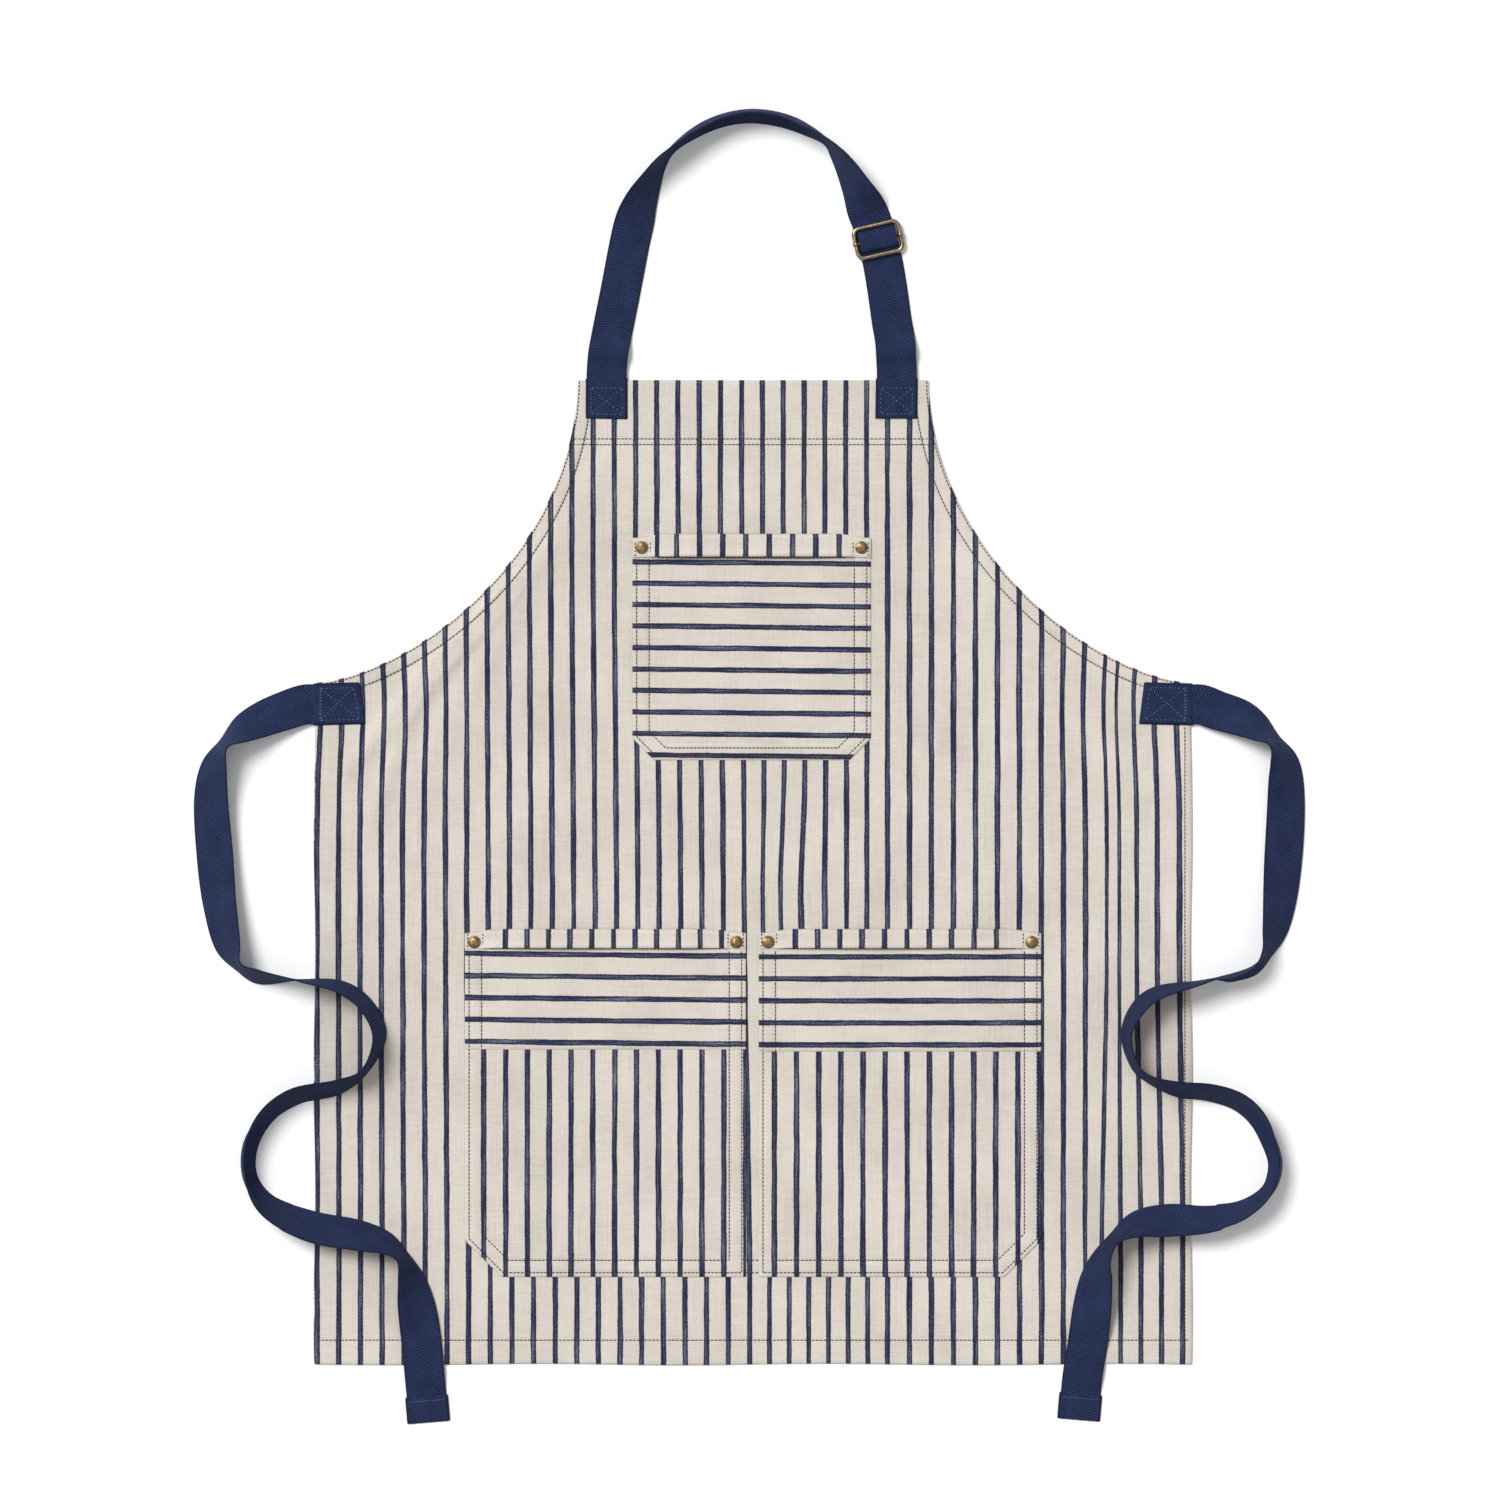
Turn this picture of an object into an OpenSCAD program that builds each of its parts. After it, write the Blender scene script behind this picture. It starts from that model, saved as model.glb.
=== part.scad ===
// Butcher apron, lying flat with its front up.
// Units are millimetres. +Y runs towards the neck, +X to the viewer's right, +Z up from the table.
// The origin is the middle of the main panel's outline, on the table.

/* [Main panel] */
// Width of the panel between its side edges
panel_w = 700; // [640:2:760]
// Length of the panel from bottom hem to bib top
panel_h = 786; // [760:2:820]
// Width of the bib at its top edge
bib_w = 280; // [270:2:300]
// Length of the straight side edges
side_h = 544; // [530:2:560]
// Roundness of the armhole along the bib: 2 is an ellipse, less is flatter
armhole_power_y = 1.94; // [1.5:0.02:2]
// Roundness of the armhole along the side
armhole_power_x = 1.56; // [1.4:0.02:2]
// Depth of the turned side and bottom hems
hem_w = 20; // [12:1:24]
// Width of the armhole facings
facing_w = 15; // [10:1:20]
// Depth of the facing behind the bib's top edge
bib_facing_h = 52; // [40:1:60]

/* [Cloth] */
// Thickness of the canvas
cloth = 1; // [0.8:0.1:1.2]
// Width of the webbing
strap_w = 32; // [30:1:34]
// Thickness of the webbing
strap_t = 1.4; // [1.2:0.1:1.5]

/* [Chest pocket] */
// Width of the chest pocket
chest_w = 190; // [170:2:210]
// Height of the chest pocket
chest_h = 178; // [160:2:190]
// Height of the pocket's mouth above the origin
chest_top = 269; // [260:1:280]
// Size of the cut bottom corners
chest_cut = 17; // [12:1:24]

/* [Lower pockets] */
// Width of one lower pocket
lower_w = 224; // [200:2:230]
// Height of one lower pocket
lower_h = 276; // [240:2:290]
// Depth of the mouths below the origin
lower_drop = 47; // [40:1:60]
// Gap between the two pockets
lower_gap = 12; // [8:1:16]
// Size of the cut outer bottom corner
lower_cut = 30; // [20:1:36]
// Height of the yoke with the stripes that run across
yoke_h = 93; // [80:1:110]

/* [Pocket make-up] */
// Height of the room inside a pocket
pocket_gap = 4.6; // [4.4:0.1:6]
// Width of the sewn-down margin
margin = 15; // [15:1:18]
// Height of the band along the mouth
band_h = 17; // [14:1:22]

/* [Rivets] */
// Diameter of a rivet's cap
cap_d = 10; // [8:0.5:11]
// Height of a rivet's cap
cap_h = 2; // [1.5:0.1:2.5]
// Diameter of a rivet's post
post_d = 2.6; // [2:0.1:3]
// Diameter of the plate behind a rivet
back_d = 8; // [7:0.5:9]

/* [Buckle] */
// Outer width of the buckle, across the strap
buckle_w = 39.4; // [38:0.2:42]
// Outer height of the buckle, along the strap
buckle_h = 27; // [26:0.5:30]
// Diameter of the frame's wire
wire_d = 3; // [2.6:0.1:3.2]
// Radius of the corners, at the wire's middle
corner_r = 5; // [4:0.5:6]
// Diameter of the centre bar
bar_d = 2.4; // [2:0.1:2.6]

/* [Hidden] */

$fn = 48;
canvas_colour = "#ddd4c7";
webbing_colour = "#29355a";
brass_colour = "#8a7350";

// Heights of the layers
panel_top = 2 * cloth;
pocket_top = panel_top + pocket_gap + cloth;
sewn_top = panel_top + 2 * cloth;
tab_top = panel_top + 2 * strap_t;

// Places on the panel
half_w = panel_w / 2;
half_h = panel_h / 2;
side_top = side_h - half_h;
armhole_steps = 24;
eps = 0.01;

// Rivets, from the pocket's corner
rivet_in = 7.2;
rivet_down = 9;
hole_r = post_d / 2 + 0.05;

// Sewn strap ends
neck_tab_h = 30;
neck_x_left = -117;
neck_x_right = 115;
tie_tab_w = 36;
tie_y = 134;
hem_fold = 19;
joint_gap = 0.3;

// Room under a strap, and how far out from the panel it stays lifted
strap_gap = 0.3;
bridge = 20;

// The buckle's place on the strap and its turn about Z
buckle_x = 100;
buckle_y = 505.6;
buckle_turn = 13;
loop_r = bar_d / 2 + 0.05 + strap_t;
bar_z = strap_gap + strap_t + joint_gap + loop_r;
frame_x = (buckle_w - wire_d) / 2;
frame_y = (buckle_h - wire_d) / 2;
bight_w = 30;
bight_reach = frame_y - wire_d / 2 - 0.6;
collar_r = 2.5;
collar_w = 3;

// Strap routes. Each point is [x, y, roll]: roll is how far the webbing is turned about its own
// length, 0 lying flat, 90 standing on its edge. A waist tie's x is counted outwards from the
// panel's side edge and its y from the middle of its sewn end.
left_tie_route = [
    [0.4, 0, 0], [8, 0, 2], [24, -5, 12], [42, -12, 25], [58, -20, 45], [72, -31, 72], [80, -48, 48],
    [83, -72, 30], [80, -120, 20], [76, -160, 30], [69, -194, 48], [61, -209, 75], [46, -217, 68],
    [12, -220, 90], [-22, -226, 106], [-41, -240, 108], [-52, -264, 107], [-40, -293, 98],
    [-20, -305, 112], [16, -313, 116], [39, -328, 112], [53, -352, 108], [53, -378, 106],
    [40, -399, 118], [2, -417, 137], [-35, -424, 136], [-57, -430, 120], [-70, -440, 105],
    [-77, -458, 128], [-81, -480, 156], [-85, -510, 178], [-87.5, -537, 179], [-89, -555, 180]
];
right_tie_route = [
    [0.4, 0, 0], [8, 0, 2], [22, -5, 11], [40, -11, 22], [54, -19, 45], [66, -29, 68], [74, -45, 42],
    [76, -66, 22], [74, -120, 14], [67, -180, 47], [60, -198, 70], [49, -209, 77], [10, -221, 92],
    [-29, -231, 107], [-43, -243, 108], [-52, -264, 102], [-44, -291, 99], [-34, -299, 101],
    [-12, -307, 113], [16, -310, 117], [40, -318, 117], [60, -336, 113], [72, -365, 105],
    [66, -388, 102], [44, -404, 112], [14, -411, 128], [-20, -412, 141], [-44, -415, 126],
    [-62, -426, 103], [-72, -442, 116], [-76, -460, 142], [-82, -508, 178], [-86.5, -537, 179], [-88, -553, 180]
];
long_strap_route = [
    [-117, 393.4, 0], [-117, 400, 0], [-116, 412, 0], [-113, 430, 0], [-107, 460, 0], [-96, 515, 6],
    [-90, 534, 34], [-82, 551, 58], [-74, 566, 74], [-65, 577, 82], [-48, 590, 76], [-25, 601, 70],
    [-2, 605, 67], [22, 602, 68], [44, 593, 75], [60, 583, 82], [69, 573, 71], [77, 561, 56],
    [85.6, 544, 40], [91.6, 531, 12], [94.4, 524, 0], [99, 508.6, 0]
];
short_strap_route = [
    [115, 393.4, 0], [115, 400, 0], [114.4, 412, 0], [113.4, 426, 0], [110.8, 441.6, 0], [107.4, 466, 0],
    [103.7, 488, 0], [99.4, 507, 0]
];

// Height of what lies under a strap at (x, y): the table, or the panel and its edge
function over_panel(x, y) =
    abs(x) < half_w + bridge && y > -half_h - bridge && y < half_h + bridge / 2;
function under(x, y) = over_panel(x, y) ? panel_top + strap_gap + 0.1 : strap_gap;

// A tie's route in the apron's own frame
function tie_points(route, side) = [for (p = route) [side * (half_w + p[0]), tie_y + p[1], -side * p[2]]];

// A point of the armhole on the right, at angle a: 0 at the side edge's top, 90 at the bib
function armhole_x(a) = half_w - (half_w - bib_w / 2) * pow(sin(a), 2 / armhole_power_x);
function armhole_y(a) = half_h - (half_h - side_top) * pow(cos(a), 2 / armhole_power_y);
function armhole_point(a) = [armhole_x(a), armhole_y(a)];
function armhole_inner(a) =
    let (d = armhole_point(min(a + 1, 90)) - armhole_point(max(a - 1, 0)))
    armhole_point(a) - facing_w * [d[1], -d[0]] / norm(d);
armhole = [for (i = [0:armhole_steps]) armhole_point(90 * i / armhole_steps)];
armhole_inside = [for (i = [armhole_steps:-1:0]) armhole_inner(90 * i / armhole_steps)];
function mirrored(points) = [for (i = [len(points) - 1:-1:0]) [-points[i][0], points[i][1]]];

// The six rivets' places
lower_in = lower_gap / 2;
function pocket_rivets(x0, x1, top) = [for (x = [x0 + rivet_in, x1 - rivet_in]) [x, top - rivet_down]];
rivets = concat(
    pocket_rivets(-chest_w / 2, chest_w / 2, chest_top),
    pocket_rivets(-lower_in - lower_w, -lower_in, -lower_drop),
    pocket_rivets(lower_in, lower_in + lower_w, -lower_drop)
);

// Ring of a flat strap at point i of a route: its middle, width direction and face direction
function heading(route, i) =
    let (a = route[max(i - 1, 0)], b = route[min(i + 1, len(route) - 1)], d = [b[0] - a[0], b[1] - a[1]])
    d / norm(d);
function strap_centre(p) =
    [p[0], p[1], under(p[0], p[1]) + strap_w / 2 * abs(sin(p[2])) + strap_t / 2 * abs(cos(p[2]))];
function strap_ring(route, i) =
    let (
        p = route[i],
        d = heading(route, i),
        across = [-d[1] * cos(p[2]), d[0] * cos(p[2]), sin(p[2])],
        face = [d[1] * sin(p[2]), -d[0] * sin(p[2]), cos(p[2])],
        w = strap_w / 2,
        t = strap_t / 2,
        section = [
            [w, -t / 2], [w, t / 2], [w - t, t], [t - w, t],
            [-w, t / 2], [-w, -t / 2], [t - w, -t], [w - t, -t]
        ]
    )
    [for (s = section) strap_centre(p) + s[0] * across + s[1] * face];

// A strap swept along its route, 8 points a ring; both faces are split along the same diagonals
module strap(route) {
    sides = 8;
    last = len(route) - 1;
    points = [for (i = [0:last]) each strap_ring(route, i)];
    walls = [
        for (i = [0:last - 1]) for (j = [0:sides - 1])
            let (a = i * sides + j, b = i * sides + (j + 1) % sides)
            each j < sides / 2
                ? [[a, b, b + sides], [a, b + sides, a + sides]]
                : [[a, b, a + sides], [b, b + sides, a + sides]]
    ];
    start_cap = [[for (j = [sides - 1:-1:0]) j]];
    end_cap = [[for (j = [0:sides - 1]) last * sides + j]];
    color(webbing_colour)
        polyhedron(points = points, faces = concat(walls, start_cap, end_cap), convexity = 10);
}

module rivet_holes() {
    for (p = rivets)
        translate([p[0], p[1], -1])
            cylinder(r = hole_r, h = 20);
}

module panel_area() {
    polygon(concat(
        [[-half_w, -half_h], [half_w, -half_h]],
        armhole,
        mirrored(armhole)
    ));
}

module armhole_strip() {
    linear_extrude(cloth)
        polygon(concat(armhole, armhole_inside));
}

// Outline of a pocket, drawn in from its edge by inset everywhere but at the mouth
function inset_cut(cut, inset) = cut - inset * (2 - sqrt(2));
module pocket_area(x0, x1, top, bottom, cut0, cut1, inset) {
    c0 = inset_cut(cut0, inset);
    c1 = inset_cut(cut1, inset);
    polygon(concat(
        [[x0 + inset, top], [x0 + inset, bottom + inset + max(c0, 0)]],
        c0 > 0 ? [[x0 + inset + c0, bottom + inset]] : [],
        c1 > 0 ? [[x1 - inset - c1, bottom + inset]] : [],
        [[x1 - inset, bottom + inset + max(c1, 0)], [x1 - inset, top]]
    ));
}

// A pocket's cloth: sewn-down margin on three sides, and a front that stands off the panel
module pocket_cloth(x0, x1, top, h, cut0, cut1) {
    bottom = top - h;
    difference() {
        union() {
            translate([0, 0, panel_top])
                linear_extrude(cloth)
                    pocket_area(x0, x1, top, bottom, cut0, cut1, 0);
            translate([0, 0, panel_top])
                linear_extrude(pocket_gap + cloth)
                    pocket_area(x0, x1, top, bottom, cut0, cut1, margin - cloth);
        }
        translate([0, 0, panel_top - 1])
            linear_extrude(pocket_gap + 1)
                pocket_area(x0, x1, top + 1, bottom, cut0, cut1, margin);
        rivet_holes();
    }
}

// The band folded over a pocket's mouth
module pocket_band(x0, x1, top) {
    y0 = top - band_h;
    color(canvas_colour)
        difference() {
            union() {
                translate([x0, y0, panel_top])
                    cube([x1 - x0, band_h + cloth, 2 * cloth]);
                translate([x0 + margin - 2 * cloth, y0, panel_top])
                    cube([x1 - x0 - 2 * margin + 4 * cloth, band_h + cloth, pocket_gap + 2 * cloth]);
            }
            translate([x0 - 1, y0 - 1, panel_top - 1])
                cube([x1 - x0 + 2, band_h + 1, cloth + 1]);
            translate([x0 + margin - cloth, y0 - 1, panel_top - 1])
                cube([x1 - x0 - 2 * margin + 2 * cloth, band_h + 1, pocket_gap + cloth + 1]);
            translate([x0 + margin, y0 - 1, panel_top - 1])
                cube([x1 - x0 - 2 * margin, band_h + cloth + 2, pocket_gap + 1]);
            rivet_holes();
        }
}

module chest_cloth() {
    pocket_cloth(-chest_w / 2, chest_w / 2, chest_top, chest_h, chest_cut, chest_cut);
}

// The lower pocket on the left; the right one is its mirror image
module lower_cloth(above, below) {
    color(canvas_colour)
        intersection() {
            pocket_cloth(-lower_in - lower_w, -lower_in, -lower_drop, lower_h, lower_cut, 0);
            translate([-half_w, below, 0])
                cube([half_w, above - below, pocket_top + 1]);
        }
}
seam_y = -lower_drop - yoke_h;
module lower_panel() {
    lower_cloth(seam_y, seam_y - lower_h);
}
module lower_yoke() {
    lower_cloth(seam_y + yoke_h + 1, seam_y);
}
module lower_band() {
    pocket_band(-lower_in - lower_w, -lower_in, -lower_drop);
}

// A folded strap end sewn down on the panel, w by h, its lowest corner at (x, y)
module sewn_end(x, y, w, h) {
    color(webbing_colour)
        translate([x, y, panel_top])
            cube([w, h, 2 * strap_t]);
}

// The folded hem on the free end of a tie
module end_hem(points) {
    last = points[len(points) - 1];
    d = heading(points, len(points) - 1);
    color(webbing_colour)
        translate([last[0], last[1], 0])
            rotate([0, 0, atan2(d[1], d[0])])
                translate([0, -strap_w / 2, 0])
                    cube([hem_fold, strap_w, 2 * strap_t]);
}

// Puts a buckle part, drawn with its strap along Y and its bar's axis at z = 0, in its place
module at_buckle() {
    translate([buckle_x, buckle_y, bar_z])
        rotate([0, 0, buckle_turn])
            children();
}

module rod(d, from, to, axis) {
    translate(from)
        rotate(axis == "x" ? [0, 90, 0] : [-90, 0, 0])
            cylinder(d = d, h = norm(to - from));
}

module wire_corner(x, y, turn) {
    translate([x, y, 0])
        rotate([0, 0, turn])
            rotate_extrude(angle = 90)
                translate([corner_r, 0])
                    circle(d = wire_d);
}

module body_panel() {
    color(canvas_colour)
        difference() {
            union() {
                translate([0, 0, cloth])
                    linear_extrude(cloth)
                        panel_area();
                translate([-half_w, -half_h, 0])
                    cube([panel_w, hem_w, panel_top - eps]);
                for (x = [-half_w, half_w - hem_w])
                    translate([x, -half_h, 0])
                        cube([hem_w, side_h - facing_w - 2, panel_top - eps]);
            }
            rivet_holes();
        }
}

module bib_facing() {
    color(canvas_colour)
        difference() {
            intersection() {
                linear_extrude(cloth)
                    panel_area();
                translate([-half_w, half_h - bib_facing_h, -1])
                    cube([panel_w, bib_facing_h + 1, cloth + 2]);
            }
            for (side = [0, 1])
                mirror([side, 0, 0])
                    translate([bib_w / 2 - facing_w - 0.4, half_h - bib_facing_h - 1, -1])
                        cube([2 * facing_w, bib_facing_h + 2, cloth + 2]);
        }
}

module armhole_facing_right() {
    color(canvas_colour)
        armhole_strip();
}

module armhole_facing_left() {
    mirror([1, 0, 0])
        armhole_facing_right();
}

module chest_pocket_panel() {
    color(canvas_colour)
        chest_cloth();
}

module chest_pocket_band() {
    pocket_band(-chest_w / 2, chest_w / 2, chest_top);
}

module left_pocket_panel() {
    lower_panel();
}

module left_pocket_yoke() {
    lower_yoke();
}

module left_pocket_band() {
    lower_band();
}

module right_pocket_panel() {
    mirror([1, 0, 0])
        lower_panel();
}

module right_pocket_yoke() {
    mirror([1, 0, 0])
        lower_yoke();
}

module right_pocket_band() {
    mirror([1, 0, 0])
        lower_band();
}

module rivet_caps() {
    rise = cap_h;
    ball_r = (cap_d * cap_d / 4 + rise * rise) / (2 * rise);
    color(brass_colour)
        for (p = rivets)
            translate([p[0], p[1], sewn_top])
                intersection() {
                    cylinder(d = cap_d, h = rise);
                    translate([0, 0, rise + 0.4 - ball_r])
                        sphere(r = ball_r);
                }
}

module rivet_posts() {
    color(brass_colour)
        for (p = rivets)
            translate([p[0], p[1], 0.1])
                cylinder(d = post_d, h = sewn_top - 0.1);
}

module rivet_backs() {
    color(brass_colour)
        for (p = rivets)
            translate([p[0], p[1], 0])
                difference() {
                    cylinder(d = back_d, h = cloth);
                    translate([0, 0, -1])
                        cylinder(r = hole_r, h = cloth + 2);
                }
}

module neck_strap_sewn_end_left() {
    sewn_end(neck_x_left - strap_w / 2, half_h - neck_tab_h, strap_w, neck_tab_h);
}

module neck_strap_sewn_end_right() {
    sewn_end(neck_x_right - strap_w / 2, half_h - neck_tab_h, strap_w, neck_tab_h);
}

module neck_strap_long() {
    strap(long_strap_route);
}

module neck_strap_short() {
    strap(short_strap_route);
}

// Webbing that rises over the centre bar between the frame's two cross wires
module neck_strap_bight() {
    steps = 16;
    low = joint_gap + strap_gap + strap_t - bar_z;
    top = loop_r + 0.1;
    function rise(y) = low + (top - low) * pow(cos(90 * y / bight_reach), 2);
    ys = [for (i = [0:steps]) bight_reach * (2 * i / steps - 1)];
    color(webbing_colour)
        at_buckle()
            translate([-bight_w / 2, 0, 0])
                rotate([90, 0, 90])
                    linear_extrude(bight_w)
                        polygon(concat(
                            [for (y = ys) [y, rise(y)]],
                            [for (i = [steps:-1:0]) [ys[i], rise(ys[i]) + strap_t]]
                        ));
}

// The long strap's folded end, sewn round the centre bar
module neck_strap_anchor_loop() {
    color(webbing_colour)
        at_buckle()
            rotate([0, 90, 0])
                difference() {
                    cylinder(r = loop_r, h = bight_w, center = true);
                    cylinder(d = bar_d + 0.1, h = bight_w + 2, center = true);
                }
}

module buckle_frame() {
    x = frame_x - corner_r;
    y = frame_y - corner_r;
    color(brass_colour)
        at_buckle() {
            rod(wire_d, [-x, frame_y, 0], [x, frame_y, 0], "x");
            rod(wire_d, [-x, -frame_y, 0], [x, -frame_y, 0], "x");
            rod(wire_d, [-frame_x, -y, 0], [-frame_x, y, 0], "y");
            rod(wire_d, [frame_x, -y, 0], [frame_x, y, 0], "y");
            wire_corner(x, y, 0);
            wire_corner(-x, y, 90);
            wire_corner(-x, -y, 180);
            wire_corner(x, -y, 270);
        }
}

module buckle_centre_bar() {
    reach = frame_x - wire_d / 2 - 0.3;
    color(brass_colour)
        at_buckle()
            difference() {
                union() {
                    rod(bar_d, [-reach, 0, 0], [reach, 0, 0], "x");
                    for (side = [-1, 1])
                        rod(2 * collar_r, [side * frame_x, -collar_w / 2, 0], [side * frame_x, collar_w / 2, 0], "y");
                }
                for (side = [-1, 1])
                    rod(wire_d + 0.1, [side * frame_x, -collar_w, 0], [side * frame_x, collar_w, 0], "y");
            }
}

module waist_tie_sewn_end_left() {
    sewn_end(-half_w, tie_y - strap_w / 2, tie_tab_w, strap_w);
}

module waist_tie_sewn_end_right() {
    sewn_end(half_w - tie_tab_w, tie_y - strap_w / 2, tie_tab_w, strap_w);
}

module waist_tie_left() {
    strap(tie_points(left_tie_route, -1));
}

module waist_tie_right() {
    strap(tie_points(right_tie_route, 1));
}

module waist_tie_end_hem_left() {
    end_hem(tie_points(left_tie_route, -1));
}

module waist_tie_end_hem_right() {
    end_hem(tie_points(right_tie_route, 1));
}

body_panel();
bib_facing();
armhole_facing_left();
armhole_facing_right();
chest_pocket_panel();
chest_pocket_band();
left_pocket_panel();
left_pocket_yoke();
left_pocket_band();
right_pocket_panel();
right_pocket_yoke();
right_pocket_band();
rivet_caps();
rivet_posts();
rivet_backs();
neck_strap_sewn_end_left();
neck_strap_sewn_end_right();
neck_strap_long();
neck_strap_short();
neck_strap_bight();
neck_strap_anchor_loop();
buckle_frame();
buckle_centre_bar();
waist_tie_sewn_end_left();
waist_tie_sewn_end_right();
waist_tie_left();
waist_tie_right();
waist_tie_end_hem_left();
waist_tie_end_hem_right();
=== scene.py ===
import math

import bpy
import numpy as np
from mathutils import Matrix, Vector


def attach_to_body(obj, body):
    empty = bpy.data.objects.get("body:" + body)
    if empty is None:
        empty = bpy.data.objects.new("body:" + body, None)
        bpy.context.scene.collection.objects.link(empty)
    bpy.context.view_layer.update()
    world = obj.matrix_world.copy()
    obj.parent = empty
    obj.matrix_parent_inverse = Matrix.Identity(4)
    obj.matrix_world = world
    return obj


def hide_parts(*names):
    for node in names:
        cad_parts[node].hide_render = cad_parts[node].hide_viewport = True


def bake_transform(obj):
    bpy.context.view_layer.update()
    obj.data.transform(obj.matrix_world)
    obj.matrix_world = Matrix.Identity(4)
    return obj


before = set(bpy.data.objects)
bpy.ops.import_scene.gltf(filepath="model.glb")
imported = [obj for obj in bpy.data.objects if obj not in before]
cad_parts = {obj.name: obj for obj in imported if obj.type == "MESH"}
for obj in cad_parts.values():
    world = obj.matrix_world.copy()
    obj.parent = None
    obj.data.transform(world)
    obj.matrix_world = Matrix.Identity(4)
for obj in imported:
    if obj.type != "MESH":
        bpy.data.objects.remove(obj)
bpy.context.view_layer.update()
MM = 0.001

# ---- camera
camera = bpy.data.objects.new("camera", bpy.data.cameras.new("camera"))
camera.data.sensor_width = 36
camera.data.lens = 180
camera.data.clip_end = 50
camera.location = (-0.0024, 0.0976, 6.0)
bpy.context.collection.objects.link(camera)
bpy.context.scene.camera = camera

# ---- sizes, in mm
HALF_W = 350.0
HALF_H = 393.0
SIDE_TOP = 151.0
BIB_HALF = 140.0
TIE_Y = 134.0
WEB_W = 32.0
WEB_T = 1.4


def smooth(t):
    """0 below 0, 1 above 1 and an even step between."""
    t = np.clip(t, 0, 1)
    return t * t * (3 - 2 * t)


def attach(obj, node, body):
    """Hide the CAD node a piece replaces and put the piece under the body it rides on."""
    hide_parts(node)
    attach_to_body(obj, body)
    return obj


# ---- node helpers
class Nodes:
    """A material's node tree, built by short calls."""

    def __init__(self, name, base, rough):
        self.material = bpy.data.materials.new(name)
        self.material.use_nodes = True
        self.tree = self.material.node_tree
        self.shader = self.tree.nodes["Principled BSDF"]
        self.shader.inputs["Roughness"].default_value = rough
        self.shader.inputs["Base Color"].default_value = (*base, 1)

    def feed(self, socket, value):
        if isinstance(value, bpy.types.NodeSocket):
            self.tree.links.new(value, socket)
        else:
            socket.default_value = value

    def math(self, operation, a, b=0.0, c=0.0):
        n = self.tree.nodes.new("ShaderNodeMath")
        n.operation = operation
        self.feed(n.inputs[0], a)
        self.feed(n.inputs[1], b)
        if operation == "MULTIPLY_ADD":
            self.feed(n.inputs[2], c)
        return n.outputs[0]

    def ramp(self, value, low, high, out_low=0.0, out_high=1.0):
        n = self.tree.nodes.new("ShaderNodeMapRange")
        n.interpolation_type = "SMOOTHSTEP"
        self.feed(n.inputs["Value"], value)
        n.inputs["From Min"].default_value = low
        n.inputs["From Max"].default_value = high
        n.inputs["To Min"].default_value = out_low
        n.inputs["To Max"].default_value = out_high
        return n.outputs["Result"]

    def noise(self, vector, scale, detail=3.0, rough=0.5):
        n = self.tree.nodes.new("ShaderNodeTexNoise")
        self.feed(n.inputs["Vector"], vector)
        n.inputs["Scale"].default_value = scale
        n.inputs["Detail"].default_value = detail
        n.inputs["Roughness"].default_value = rough
        return n.outputs[0]

    def stretch(self, vector, scale):
        n = self.tree.nodes.new("ShaderNodeMapping")
        n.inputs["Scale"].default_value = scale
        self.feed(n.inputs["Vector"], vector)
        return n.outputs[0]

    def mix(self, factor, a, b):
        n = self.tree.nodes.new("ShaderNodeMix")
        n.data_type = "RGBA"
        self.feed(n.inputs["Factor"], factor)
        self.feed(n.inputs["A"], a if isinstance(a, bpy.types.NodeSocket) else (*a, 1))
        self.feed(n.inputs["B"], b if isinstance(b, bpy.types.NodeSocket) else (*b, 1))
        return n.outputs["Result"]

    def object_coords(self):
        return self.tree.nodes.new("ShaderNodeTexCoord").outputs["Object"]

    def uv(self):
        n = self.tree.nodes.new("ShaderNodeUVMap")
        n.uv_map = "cloth"
        return n.outputs[0]

    def split(self, vector):
        n = self.tree.nodes.new("ShaderNodeSeparateXYZ")
        self.feed(n.inputs[0], vector)
        return n.outputs

    def color(self, socket):
        self.tree.links.new(socket, self.shader.inputs["Base Color"])

    def rough(self, socket):
        self.tree.links.new(socket, self.shader.inputs["Roughness"])

    def bump(self, height, distance, strength=1.0):
        n = self.tree.nodes.new("ShaderNodeBump")
        n.inputs["Strength"].default_value = strength
        n.inputs["Distance"].default_value = distance
        self.feed(n.inputs["Height"], height)
        self.tree.links.new(n.outputs[0], self.shader.inputs["Normal"])


# ---- materials
WARP_YARN_PITCH = 0.00075
WEFT_YARN_PITCH = 0.00085
CANVAS = (0.83, 0.765, 0.685)
CANVAS_DARK = (0.60, 0.54, 0.475)
CANVAS_FLECK = (0.48, 0.41, 0.33)
STRIPE = (0.017, 0.023, 0.064)
STRIPE_WORN = (0.24, 0.27, 0.37)
WEBBING = (0.022, 0.034, 0.092)
WEBBING_DARK = (0.003, 0.006, 0.026)
WEBBING_LIGHT = (0.029, 0.049, 0.136)
WEBBING_EDGE = (0.005, 0.008, 0.028)
BRASS_TARNISH = (0.05, 0.035, 0.02)


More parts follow.
